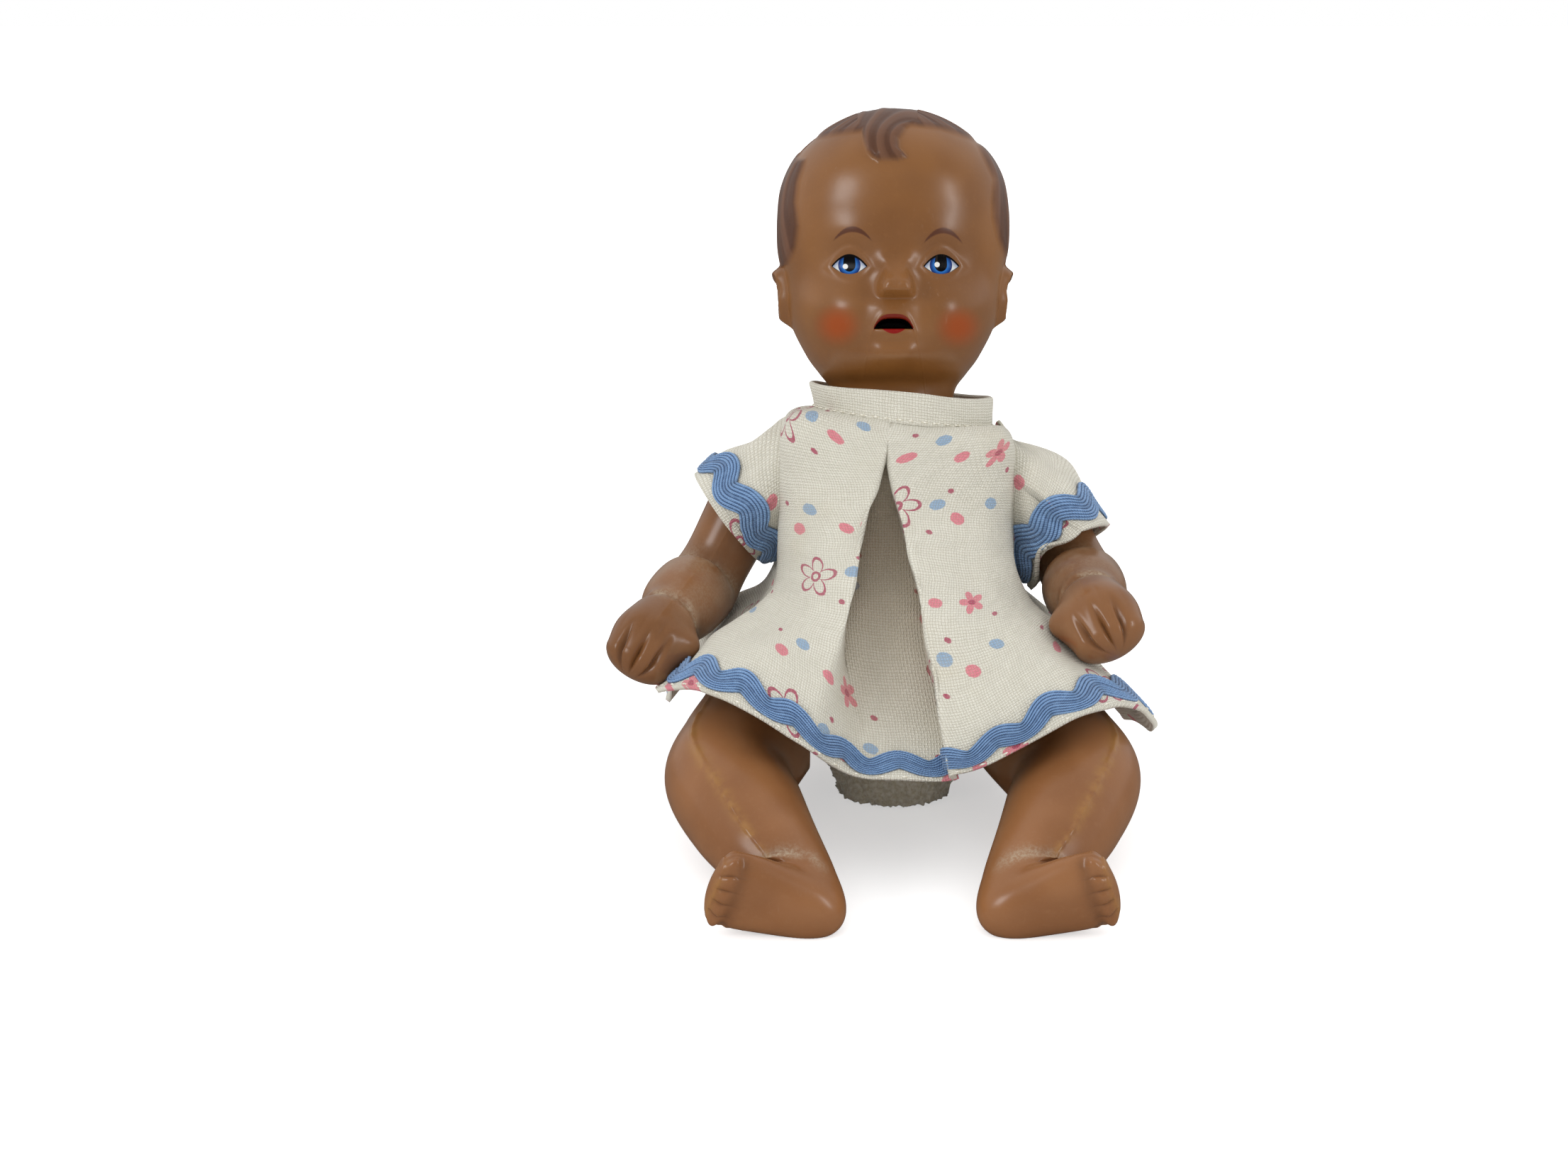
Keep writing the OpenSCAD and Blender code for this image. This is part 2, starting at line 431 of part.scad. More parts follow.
// Rickrack: a flat ribbon that waves along a cloth surface; skin gives a point at u, turn and height
module ribbon(skin, path, n, loop, lift) {
  pts = [for (k = [0:(loop ? n - 1 : n)])
    let (s = k/n, q = path(s), e = 0.25/n, qa = path(s - e), qb = path(s + e),
         c = skin(q[0], q[1], 0), t = unit(skin(qb[0], qb[1], 0) - skin(qa[0], qa[1], 0)),
         h = unit(skin(q[0], q[1], 1) - c), d = unit(cross(h, t)))
    each [c - d*ribbon_w/2 + h*lift, c + d*ribbon_w/2 + h*lift,
          c + d*ribbon_w/2 + h*(lift + ribbon_t), c - d*ribbon_w/2 + h*(lift + ribbon_t)]];
  total = len(pts);
  sides = [for (k = [0:n-1], j = [0:3])
    let (a = 4*k + j, b = 4*k + (j + 1) % 4, c = (b + 4) % total, d = (a + 4) % total)
    each [[a, c, b], [a, d, c]]];
  ends = loop ? [] : [[0, 1, 2], [0, 2, 3], [4*n + 2, 4*n + 1, 4*n], [4*n + 3, 4*n + 2, 4*n]];
  polyhedron(points = pts, faces = concat(sides, ends), convexity = 10);
}
hem_waves = round(3.2*(hem_w/2 + hem_front/2 + hem_back/2)/trim_wave);
wave_h = (trim_w - ribbon_w)/2;
module hem_trim() {
  ribbon(function(u, a, h) dress_pt(u, a, cloth/2 + h),
    function(s) [0.925 + 0.017*wave_h*cos(360*hem_waves*s), -178.5 + 357*s], hem_waves*6, false, ease);
}
module sleeve_trim(swing, drop) {
  ribbon(function(u, f, h) sleeve_skin(u, f, cloth/2 + h, swing, drop),
    function(s) [0.87 + 0.085*wave_h*cos(360*6*s), 360*s], 48, true, ease + 0.25 + 0.18*drop);
}

// Pieces
module torso_front() { color([0.5, 0.32, 0.19]) difference() { torso_half(true); torso_bores(); } }
module torso_back() { color([0.5, 0.32, 0.19]) difference() { torso_half(false); torso_bores(); } }
module head_front() { color([0.52, 0.34, 0.2]) head_half(true); }
module head_back() { color([0.42, 0.28, 0.2]) head_half(false); }
module neck_plug() {
  color([0.5, 0.32, 0.19]) in_torso() translate([0, 0, head_foot])
    stud(neck_boss_r + 2.4, neck_boss_r, head_foot - torso_top - face_gap, boss_through);
}
module right_arm_outer() { color([0.52, 0.34, 0.2]) mirror([1, 0, 0]) arm_half(right_arm_twist, right_arm_swing, true); }
module right_arm_inner() { color([0.52, 0.34, 0.2]) mirror([1, 0, 0]) arm_half(right_arm_twist, right_arm_swing, false); }
module left_arm_outer() { color([0.52, 0.34, 0.2]) arm_half(left_arm_twist, left_arm_swing, true); }
module left_arm_inner() { color([0.52, 0.34, 0.2]) arm_half(left_arm_twist, left_arm_swing, false); }
module right_shoulder_button() { color([0.45, 0.3, 0.18]) side_stud(-1, shoulder_z, arm_flat, 5, arm_flange_t); }
module left_shoulder_button() { color([0.45, 0.3, 0.18]) side_stud(1, shoulder_z, arm_flat, 5, arm_flange_t); }
module right_leg_upper() { color([0.52, 0.34, 0.2]) mirror([1, 0, 0]) leg_half(true); }
module right_leg_lower() { color([0.52, 0.34, 0.2]) mirror([1, 0, 0]) leg_half(false); }
module left_leg_upper() { color([0.52, 0.34, 0.2]) leg_half(true); }
module left_leg_lower() { color([0.52, 0.34, 0.2]) leg_half(false); }
module right_hip_button() { color([0.45, 0.3, 0.18]) side_stud(-1, 0, leg_flat, 6.5, flange_t); }
module left_hip_button() { color([0.45, 0.3, 0.18]) side_stud(1, 0, leg_flat, 6.5, flange_t); }
module arm_elastic() { color([0.75, 0.72, 0.65]) cross_elastic(shoulder_z, shoulder_flat); }
module leg_elastic() { color([0.75, 0.72, 0.65]) cross_elastic(0, hip_flat); }
module head_elastic() {
  top = torso_top - boss_through + face_gap - groove_w/2;
  low = -cord_d - ease;
  color([0.75, 0.72, 0.65]) in_torso() {
    translate([0, 0, top]) rotate_extrude() translate([ring_r, 0]) circle(cord_r, $fn = 24);
    for (s = [-1, 1]) translate([0, s*strand_off, low]) cylinder(r = cord_r, h = top - low, $fn = 24);
    translate([0, 0, low]) rotate([0, 90, 0]) rotate([0, 0, -90]) rotate_extrude(angle = 180)
      translate([strand_off, 0]) circle(cord_r, $fn = 24);
  }
}
module nappy() {
  top_z = 19;
  strap = hip_flat - 1.5;
  function skin(u, a, off) =
    let (r = along(torso_rows, u*0.34), q = ring_at(a, r[1] + off, r[2] + off, r[3] + off, 2.3),
         p = tw([q[0], q[1], r[0] < -9 ? r[0] - off : r[0]]))
    [p[0], p[1], max(p[2], seat_gap - off)];
  color([0.88, 0.86, 0.8]) difference() {
    tube_shell(function(u, v) u == 0 ? skin(0.02, 0, ease + nappy_t) : skin(u, 360*v, ease + nappy_t),
      function(u, v) u == 0 ? skin(0.02, 0, ease) : skin(u, 360*v, ease), 10, 24, true, true);
    in_torso() for (s = [-1, 1]) {
      translate([s*(strap + 15), 0, 0]) rotate([0, 90, 0]) cylinder(r = 11.9, h = 30, center = true);
      translate([s*(strap + 15), 0, -15]) cube([30, 60, 30], center = true);
    }
  }
}
module dress_front() { color([0.9, 0.89, 0.85]) dress_panel(function(v) front_angle(v), 18, 36); }
module dress_back_right() { color([0.9, 0.89, 0.85]) dress_panel(function(v) -179.7 + 89.7*v, 18, 12); }
module dress_back_left() { color([0.9, 0.89, 0.85]) dress_panel(function(v) 90 + 89.7*v, 18, 12); }
module collar() {
  function band(u, v, off) = let (a = -178.5 + 357*v)
    tw([neck_shift + (collar_r + off)*sin(a), -(collar_r + off)*cos(a), collar_z + 2*ease + (1 - cos(a)) + collar_h*u])
    - [0, 0, neck_tilt*collar_r*sin(a)];
  color([0.88, 0.87, 0.82]) patch_shell(function(u, v) band(u, v, cloth), function(u, v) band(u, v, -cloth), 4, 36, false, false, true);
}
module right_sleeve() { color([0.9, 0.89, 0.85]) mirror([1, 0, 0]) sleeve(right_arm_swing, 0); }
module left_sleeve() { color([0.9, 0.89, 0.85]) sleeve(left_arm_swing, left_sleeve_drop); }
module hem_rickrack() { color([0.45, 0.57, 0.72]) hem_trim(); }
module right_sleeve_rickrack() { color([0.45, 0.57, 0.72]) mirror([1, 0, 0]) sleeve_trim(right_arm_swing, 0); }
module left_sleeve_rickrack() { color([0.45, 0.57, 0.72]) sleeve_trim(left_arm_swing, left_sleeve_drop); }

torso_front();
torso_back();
head_front();
head_back();
neck_plug();
right_arm_outer();
right_arm_inner();
right_shoulder_button();
left_arm_outer();
left_arm_inner();
left_shoulder_button();
right_leg_upper();
right_leg_lower();
right_hip_button();
left_leg_upper();
left_leg_lower();
left_hip_button();
arm_elastic();
leg_elastic();
head_elastic();
nappy();
dress_front();
dress_back_right();
dress_back_left();
collar();
right_sleeve();
left_sleeve();
hem_rickrack();
right_sleeve_rickrack();
left_sleeve_rickrack();
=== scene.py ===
"""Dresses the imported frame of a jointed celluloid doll: skin, painted face, cotton dress, braid and nappy."""
import math

import bpy
import numpy as np
from mathutils import Matrix, Vector
from mathutils.bvhtree import BVHTree


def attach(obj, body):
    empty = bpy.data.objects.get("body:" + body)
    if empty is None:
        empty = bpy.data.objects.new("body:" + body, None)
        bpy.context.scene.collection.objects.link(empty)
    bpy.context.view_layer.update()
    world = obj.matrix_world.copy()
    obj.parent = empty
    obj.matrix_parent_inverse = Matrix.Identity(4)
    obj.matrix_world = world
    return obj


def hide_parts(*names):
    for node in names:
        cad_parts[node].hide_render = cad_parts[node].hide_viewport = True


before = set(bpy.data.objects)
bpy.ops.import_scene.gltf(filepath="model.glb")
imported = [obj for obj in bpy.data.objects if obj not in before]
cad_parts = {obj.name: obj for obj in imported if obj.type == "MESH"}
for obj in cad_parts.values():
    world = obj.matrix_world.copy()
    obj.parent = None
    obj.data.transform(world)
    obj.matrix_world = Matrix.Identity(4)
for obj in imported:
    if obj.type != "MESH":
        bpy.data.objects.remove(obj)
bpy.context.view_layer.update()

# Sizes in millimetres, the same as in the part's source
LEAN, HIP_Z = 16.0, 14.0
HEAD_H, HEAD_W, FACE_D, SKULL_D, HEAD_C = 45.0, 36.0, 17.6, 20.8, 70.075
SHOULDER_Z, TORSO_TOP = 32.8, 44.5
ARM_FLAT, ARM_X, ARM_SPLAY = 19.2, 21.4, 27.0
LEG_FLAT, LEG_X, LEG_ROLL, LEG_PITCH = 13.2, 18.6, 19.0, 9.0
UPPER_ARM, FOREARM, HAND_W = 17.5, 16.0, 11.6
SHOULDER_D, UPPER_ARM_D, FOREARM_D, WRIST_D = 12.0, 11.2, 11.0, 8.8
THIGH, THIGH_D, KNEE_D, SHIN, ANKLE_D, FOOT_LEN, FOOT_W = 30.0, 19.6, 18.2, 22.5, 12.0, 19.5, 11.6
COLLAR_R, COLLAR_Z = 13.3, TORSO_TOP - 2.7
YOKE_W, HEM_W, HEM_FRONT, HEM_BACK, HEM_DROP = 37.4, 71.0, 42.0, 36.0, 17.0
DRESS_SKEW, ARMHOLE_R = 0.03, 8.3
TRIM_W, TRIM_WAVE, RIBBON_W = 6.5, 8.6, 4.5
# Thickness of the hemmed cloth of the dress and sleeves, and of the nappy
DRESS_T, SLEEVE_T, TERRY_T = 0.85, 0.8, 0.8
# Side, twist and swing of each arm, and how far its sleeve has slipped down
ARMS = (("right", -1, 10.0, 8.0, 0.0), ("left", 1, -11.0, 25.0, 2.5))
# The worn neckband: height, shift to the doll's left and lowering there per millimetre
NECK_H, NECK_SHIFT, NECK_TILT = 4.6, 1.6, 0.12


# Plain maths on arrays of points
def vec(x, y, z):
    return np.stack(np.broadcast_arrays(x, y, z), -1).astype(float)


def rotated(p, deg, i, j):
    """Points turned from the axis i towards the axis j."""
    c, s = math.cos(math.radians(deg)), math.sin(math.radians(deg))
    q = np.array(p, float)
    q[..., i] = p[..., i] * c - p[..., j] * s
    q[..., j] = p[..., i] * s + p[..., j] * c
    return q


def rx(p, deg):
    return rotated(p, deg, 1, 2)


def ry(p, deg):
    return rotated(p, deg, 2, 0)


def rz(p, deg):
    return rotated(p, deg, 0, 1)


def tw(p):
    """Places in the leaning torso, measured from the hip line, as places in the part."""
    return rx(p, -LEAN) + np.array([0, 0, HIP_Z])


def sind(a):
    return np.sin(np.radians(a))


def cosd(a):
    return np.cos(np.radians(a))


def along(rows, u):
    """Smooth curve through rows, which are points or arrays of points, at shares u."""
    n = len(rows) - 1
    x = np.clip(u, 0, 1) * n
    i = np.minimum(np.floor(x), n - 1).astype(int)
    t = x - i
    shares = (
        (np.maximum(i - 1, 0), 0.5 * (-t + 2 * t**2 - t**3)),
        (i, 0.5 * (2 - 5 * t**2 + 3 * t**3)),
        (i + 1, 0.5 * (t + 4 * t**2 - 3 * t**3)),
        (np.minimum(i + 2, n), 0.5 * (t**3 - t**2)),
    )
    total = 0
    for k in range(n + 1):
        weight = sum(np.where(at == k, w, 0) for at, w in shares)
        total = total + weight[..., None] * np.asarray(rows[k], float)
    return total


def bell(d, s):
    return np.exp(-(d * d) / (2 * s * s))


def ease(a, b, x):
    t = np.clip((x - a) / (b - a), 0, 1)
    return t * t * (3 - 2 * t)


def unit(v):
    return v / np.maximum(np.linalg.norm(v, axis=-1, keepdims=True), 1e-9)


def ring(a, w, front, back, p):
    s, c = sind(a), cosd(a)
    d = np.where(c > 0, front, back)
    r = ((np.abs(s) / w) ** p + (np.abs(c) / d) ** p) ** (-1 / p)
    return r * s, -r * c


def grid_normals(p):
    """Unit normals of a grid of points, from its row and column steps."""
    return unit(np.cross(np.gradient(p, axis=0), np.gradient(p, axis=1)))


def steps(p, axis=0):
    """Lengths of the steps between neighbours of a line or a grid."""
    return np.linalg.norm(np.diff(p, axis=axis), axis=-1)


def run(line):
    """Length along a line up to each of its points."""
    return np.concatenate([[0], np.cumsum(steps(line))])


def between(s, at, line):
    """Points of a line at s, where at gives the place of each of its own points."""
    return np.stack([np.interp(s, at, line[:, i]) for i in range(3)], -1)


# The camera of the photograph: place in millimetres, tilt down in degrees and focal length in pixels
CAMERA_AT, CAMERA_DOWN, FOCAL = np.array([-17.1, -315.6, 127.8]), 17.0, 3000.0
PICTURE_W, SENSOR_W = 2212, 36
# Middle of the face, in pixels from the picture's middle, and pixels to a millimetre there
FACE_ACROSS, FACE_UP, FACE_SCALE = 157, 484.5, 8.87


def seen(p):
    """Places across and up, in millimetres about the middle of the face, where the camera sees points."""
    d = rx(p - CAMERA_AT, CAMERA_DOWN)
    return ((FOCAL * d[..., 0] / d[..., 1] - FACE_ACROSS) / FACE_SCALE,
            (FOCAL * d[..., 2] / d[..., 1] - FACE_UP) / FACE_SCALE)


def waves(p, seed, size, count=6):
    """Soft random relief from a few crossed sine waves, about one high."""
    draw = np.random.default_rng(seed)
    total = 0
    for _ in range(count):
        way = unit(draw.normal(size=3)) * draw.uniform(0.7, 1.4) / size
        total = total + np.sin(p @ (way * 2 * math.pi) + draw.uniform(0, 6.28))
    return total / math.sqrt(count)


# Meshes from grids
def quads(shape, closed=False, flip=False, start=0):
    n, m = shape[:2]
    idx = start + np.arange(n * m).reshape(n, m)
    if closed:
        idx = np.concatenate([idx, idx[:, :1]], 1)
    q = np.stack([idx[:-1, :-1], idx[:-1, 1:], idx[1:, 1:], idx[1:, :-1]], -1).reshape(-1, 4)
    return q[:, ::-1] if flip else q


def add(name, data):
    obj = bpy.data.objects.new(name, data)
    bpy.context.scene.collection.objects.link(obj)
    return obj


def piece(name, points, faces, body, material, replaces=(), fields=None):
    """A smooth mesh from millimetres that rides on a body, with fields stored at each of its points."""
    mesh = bpy.data.meshes.new(name)
    points = np.asarray(points, float).reshape(-1, 3)
    sizes = np.concatenate([np.full(len(f), f.shape[1]) for f in faces])
    corners = np.concatenate([f.ravel() for f in faces])
    mesh.vertices.add(len(points))
    mesh.vertices.foreach_set("co", (points * 0.001).astype(np.float32).ravel())
    mesh.loops.add(len(corners))
    mesh.loops.foreach_set("vertex_index", corners.astype(np.int32))
    mesh.polygons.add(len(sizes))
    mesh.polygons.foreach_set("loop_start", np.concatenate([[0], np.cumsum(sizes)[:-1]]).astype(np.int32))
    for key, value in (fields or {}).items():
        value = np.asarray(value, np.float32)
        wide = value.size == points.size
        layer = mesh.attributes.new(key, "FLOAT_VECTOR" if wide else "FLOAT", "POINT")
        layer.data.foreach_set("vector" if wide else "value", value.ravel())
    mesh.update(calc_edges=True)
    mesh.validate()
    mesh.shade_smooth()
    mesh.materials.append(material)
    obj = add(name, mesh)
    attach(obj, body)
    if replaces:
        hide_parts(*replaces)
    return obj


def apply_modifiers(obj):
    bpy.context.view_layer.update()
    graph = bpy.context.evaluated_depsgraph_get()
    mesh = bpy.data.meshes.new_from_object(obj.evaluated_get(graph))
    obj.modifiers.clear()
    obj.data = mesh


# Node trees written as sums
class Val:
    """A socket in the node tree being written, so that patterns read as plain sums."""

    tree = None

    def __init__(self, socket):
        self.socket = socket

    def __add__(self, o):
        return op("ADD", self, o)

    __radd__ = __add__

    def __sub__(self, o):
        return op("SUBTRACT", self, o)

    def __rsub__(self, o):
        return op("SUBTRACT", o, self)

    def __mul__(self, o):
        return op("MULTIPLY", self, o)

    __rmul__ = __mul__

    def __truediv__(self, o):
        return op("DIVIDE", self, o)

    def __neg__(self):
        return op("MULTIPLY", self, -1.0)

    def __abs__(self):
        return op("ABSOLUTE", self)


def put(socket, value):
    if isinstance(value, Val):
        Val.tree.links.new(value.socket, socket)
    else:
        socket.default_value = value


def node_of(kind, *values):
    """A new node with values on its first inputs."""
    node = Val.tree.nodes.new("ShaderNode" + kind)
    for socket, value in zip(node.inputs, values):
        put(socket, value)
    return node


def op(kind, *values):
    node = node_of("Math", *values)
    node.operation = kind
    return Val(node.outputs[0])


def low(a, b):
    return op("MINIMUM", a, b)


def high(a, b):
    return op("MAXIMUM", a, b)


def reach(x, z):
    return op("SQRT", x * x + z * z)


def ramp(x, a, b, to_low=0.0, to_high=1.0):
    """Smooth step from to_low at a to to_high at b; a may be above b."""
    if a > b:
        a, b, to_low, to_high = b, a, to_high, to_low
    node = node_of("MapRange", x, a, b, to_low, to_high)
    node.interpolation_type = "SMOOTHSTEP"
    return Val(node.outputs[0])


def mix(mask, a, b):
    node = node_of("Mix")
    node.data_type = "RGBA"
    put(node.inputs[0], mask)
    put(node.inputs[6], a)
    put(node.inputs[7], b)
    return Val(node.outputs[2])


def srgb(r, g, b):
    """A colour written as it looks on screen, 0 to 255, as the linear one that nodes take."""
    def line(c):
        c /= 255
        return c / 12.92 if c <= 0.04045 else ((c + 0.055) / 1.055) ** 2.4
    return (line(r), line(g), line(b), 1.0)


def field(name, vector=False):
    node = node_of("Attribute")
    node.attribute_name = name
    return Val(node.outputs["Vector" if vector else "Fac"])


def split(v):
    return tuple(Val(s) for s in node_of("SeparateXYZ", v).outputs)


def join(x, y, z=0.0):
    return Val(node_of("CombineXYZ", x, y, z).outputs[0])


def noise(where, scale, detail=3.0, rough=0.55):
    node = node_of("TexNoise")
    for key, value in (("Vector", where), ("Scale", scale), ("Detail", detail), ("Roughness", rough)):
        put(node.inputs[key], value)
    return Val(node.outputs[0])


def place():
    """Object coordinates in metres."""
    return Val(node_of("TexCoord").outputs["Object"])


def ray(kind):
    """One on rays of a kind, and zero on the others."""
    return Val(node_of("LightPath").outputs["Is " + kind + " Ray"])


def bump(height, distance, strength=1.0):
    node = node_of("Bump")
    for key, value in (("Strength", strength), ("Distance", distance), ("Height", height)):
        put(node.inputs[key], value)
    return Val(node.outputs[0])


def material(name, paint, **values):
    """A material whose paint gives colour, roughness, normal and maybe shine; values go on the shader."""
    mat = bpy.data.materials.new(name)
    mat.use_nodes = True
    tree = mat.node_tree
    tree.nodes.clear()
    out = tree.nodes.new("ShaderNodeOutputMaterial")
    shader = tree.nodes.new("ShaderNodeBsdfPrincipled")
    tree.links.new(shader.outputs[0], out.inputs[0])
    Val.tree = tree
    colour, rough, normal, *shine = paint()
    put(shader.inputs["Base Color"], colour)
    put(shader.inputs["Roughness"], rough)
    if normal is not None:
        put(shader.inputs["Normal"], normal)
    if shine:
        put(shader.inputs["Specular IOR Level"], shine[0])
    for key, value in values.items():
        shader.inputs[key.replace("_", " ")].default_value = value
    return mat


# Celluloid: dark, plain and warm tones of each part's skin; the arms' tones are darker than the legs', as
# painted shade on arms lying under the sleeves
HEAD_SKIN = srgb(124, 78, 34), srgb(136, 88, 41), srgb(148, 99, 50)
LIMB_SKIN = srgb(134, 87, 50), srgb(148, 99, 60), srgb(160, 112, 74)
ARM_SKIN_SHADED = srgb(118, 77, 43), srgb(134, 90, 54), srgb(150, 106, 70)
DUST, GLUE, WORN = srgb(190, 176, 152), srgb(158, 112, 58), srgb(196, 160, 128)


def skin_base(where, tones):
    """Celluloid's own colour: slow clouds of brown, with finer flecks."""
    dark, plain, warm = tones
    cloud = noise(where, 60, 2.0)
    fleck = noise(where, 900, 3.0, 0.7)
    colour = mix(ramp(cloud, 0.35, 0.65), dark, plain)
    return mix(ramp(fleck, 0.52, 0.75) * 0.15, colour, warm)


def scuffs(where):
    """Fine rubbed scratches that run mostly one way."""
    x, y, z = split(where)
    streak = noise(join(x, y, z * 0.12), 2600, 2.0)
    return ramp(streak, 0.6, 0.78) * ramp(noise(where, 110, 2.0), 0.5, 0.68)


def limb_paint(tones=LIMB_SKIN):
    where = place()
    dust, glue, dent = field("dust"), field("glue"), field("dent")
    grit = noise(where, 2400, 3.0, 0.7)
    # Painted shade in the creases and between the fingers and toes
    colour = mix(dent * 0.45, skin_base(where, tones), srgb(84, 50, 26))
    lumps = noise(where, 420, 3.0)
    glue_mask = glue * ramp(lumps, 0.3, 0.62)
    colour = mix(glue_mask * 0.75, colour, GLUE)
    dust_mask = dust * (0.3 + ramp(grit, 0.36, 0.66) * 0.7) * ramp(noise(where, 260, 2.0), 0.25, 0.6)
    colour = mix(dust_mask * 0.6, colour, DUST)
    worn = scuffs(where)
    colour = mix(worn * 0.1, colour, WORN)
    rough = 0.27 + worn * 0.2 + dust_mask * 0.35 + noise(where, 300, 2.0) * 0.08
    height = noise(where, 400, 1.0) * 0.5 + grit * dust_mask * 1.2 + lumps * glue_mask
    return colour, rough, bump(height, 0.00005, 0.6)


HAIR, HAIR_SHADED = srgb(104, 70, 52), srgb(80, 48, 33)
# Places on the face, in millimetres across and up from its middle
# Each eye's middle, iris and glint across, and the glint's height
EYES = ((-7.28, -7.28, -7.92, -3.36), (7.38, 7.32, 6.72, -3.05))
EYE_Z, EYE_HALF, LID_UP, LID_DOWN = -3.34, 2.9, 1.95, 1.27
# Middle and height of each brow, and how it bends
BROWS = ((-6.8, 2.4, 0.187), (7.6, 2.2, 0.205))
BLUSH = ((-9.2, -12.9), (10.0, -13.2))
MOUTH_X, MOUTH_HALF, MOUTH_TOP, MOUTH_FOOT = -0.3, 3.25, -11.75, -13.5


def lid_edges(x, z, cx):
    """Share across an eye, and how far a place lies under its upper and over its lower lid."""
    ex = (x - cx) / EYE_HALF
    arch = 1.0 - ex * ex
    return ex, arch, arch * LID_UP - (z - EYE_Z), (z - EYE_Z) + arch * LID_DOWN


def lip_bow(square, top, bend):
    """Height of the upper lip's bow at a squared distance from the mouth's middle."""
    return top - square * bend - square * square * 0.016


def head_paint():
    where = place()
    x, y, z = split(field("local", True))
    hair = field("hair")
    colour = skin_base(where, HEAD_SKIN)
    front = ramp(y, -1.0, -4.0)
    # Cheeks
    blush = 0.0
    for cx, cz in BLUSH:
        d = reach(x - cx, (z - cz) * 1.15)
        blush = high(ramp(d, 4.6, 0.6) * front * 0.85, blush)
    colour = mix(blush, colour, srgb(158, 66, 2))
    # Hair, sprayed on with a soft edge
    # Painted light and shade on the strands: lighter on their combed ridges, darker in their grooves
    strand = field("strand")
    grain = noise(where, 500, 3.0)
    hair_colour = mix(ramp(strand, 0.3, 0.75), HAIR_SHADED, HAIR)
    colour = mix(hair * (0.8 + grain * 0.2), colour, hair_colour)
    # Brows
    for cx, top, bend in BROWS:
        dx = x - cx
        line = abs(z - (top - dx * dx * bend)) - (0.46 - dx * dx * 0.04)
        brow = ramp(line, 0.14, -0.16) * ramp(abs(dx), 3.3, 2.6) * front * 0.92
        colour = mix(brow, colour, srgb(84, 38, 10))
    # Lips and mouth
    dx = x - MOUTH_X
    square = dx * dx
    bow = lip_bow(square, MOUTH_TOP, 0.02)
    inside = low(low(MOUTH_HALF - abs(dx), z - MOUTH_FOOT), bow - z)
    upper = low(low(lip_bow(square, -11.08, 0.05) - z, z - bow + 0.3), 3.2 - abs(dx))
    lips = ramp(upper, -0.05, 0.14) * front * 0.92
    colour = mix(lips, colour, srgb(112, 14, 5))
    lower = low(low(z + 14.35 - square * 0.24, -13.4 - z), 2.1 - abs(dx))
    lower_lip = ramp(lower, -0.05, 0.12) * front
    colour = mix(lower_lip, colour, srgb(134, 5, 0))
    # Painted shade: the mouth's recess is painted near black for the dark inside of the open mouth
    mouth_shade = ramp(inside, -0.02, 0.1) * front
    colour = mix(mouth_shade, colour, srgb(9, 6, 6))
    # Eyes: white, iris, pupil, glint and lids
    matt = high(mouth_shade, high(lips, lower_lip) * 0.6)
    for cx, ix, sx, sz in EYES:
        ex, _, upper_edge, lower_edge = lid_edges(x, z, cx)
        paint = mix(ramp(upper_edge, 1.6, 0.1) * 0.8, srgb(206, 208, 206), srgb(96, 116, 160))
        r = reach(x - ix, z + 3.16)
        iris = mix(ramp(r, 0.9, 1.75), srgb(40, 110, 186), srgb(10, 42, 104))
        paint = mix(ramp(r, 1.84, 1.74), paint, iris)
        pupil = reach(x - ix, low((z + 3.1) * 0.9, (z + 3.1) * 0.4))
        paint = mix(ramp(pupil, 1.04, 0.94), paint, srgb(2, 2, 4))
        paint = mix(ramp(reach(x - sx, z - sz), 0.46, 0.38), paint, srgb(228, 228, 222))
        paint = mix(ramp(upper_edge, 0.46, 0.28), paint, srgb(6, 5, 7))
        rim = ramp(lower_edge, 0.2, 0.08) * ramp(abs(ex), 0.2, 0.8)
        paint = mix(rim, paint, srgb(38, 34, 46))
        mask = ramp(low(upper_edge, lower_edge), -0.03, 0.05) * front
        colour = mix(mask, colour, paint)
        matt = high(matt, mask)
    worn = scuffs(where) * (1.0 - hair)
    colour = mix(worn * 0.12, colour, WORN)
    # A rubbed patch with fine dark cracks on the right of the forehead
    rub = ramp(reach(x + 6.6, (z - 7.4) * 1.3), 3.6, 0.8) * front
    crack = ramp(noise(join(x * 3.0, z * 0.7), 1.6, 3.0), 0.6, 0.72) * rub
    colour = mix(crack * 0.45, colour, srgb(84, 62, 46))
    rough = 0.3 + worn * 0.2 + hair * 0.1 + noise(where, 300, 2.0) * 0.1
    height = noise(where, 700, 2.0) * 0.5 + grain * hair * 0.8
    return colour, rough, bump(height, 0.00005, 0.5), 0.7 - matt * 0.6 - hair * 0.35 - blush * 0.35


def turned_paint():
    where = place()
    x, y, z = split(where)
    rings = noise(join(x, y * 0.1, z * 0.1), 4000, 2.0)
    return mix(rings, srgb(112, 72, 44), srgb(134, 90, 56)), 0.35 + rings * 0.15, bump(rings, 0.00005)


def cord_paint():
    node = node_of("TexVoronoi", place())
    node.feature = "SMOOTH_F1"
    node.inputs["Scale"].default_value = 2600
    cover = Val(node.outputs[0])
    colour = mix(ramp(cover, 0.2, 0.7), srgb(214, 206, 190), srgb(150, 140, 122))
    return colour, 0.85 - cover * 0.1, bump(cover, 0.0002)


celluloid = material("celluloid", limb_paint, Coat_Weight=0.12, Coat_Roughness=0.18)
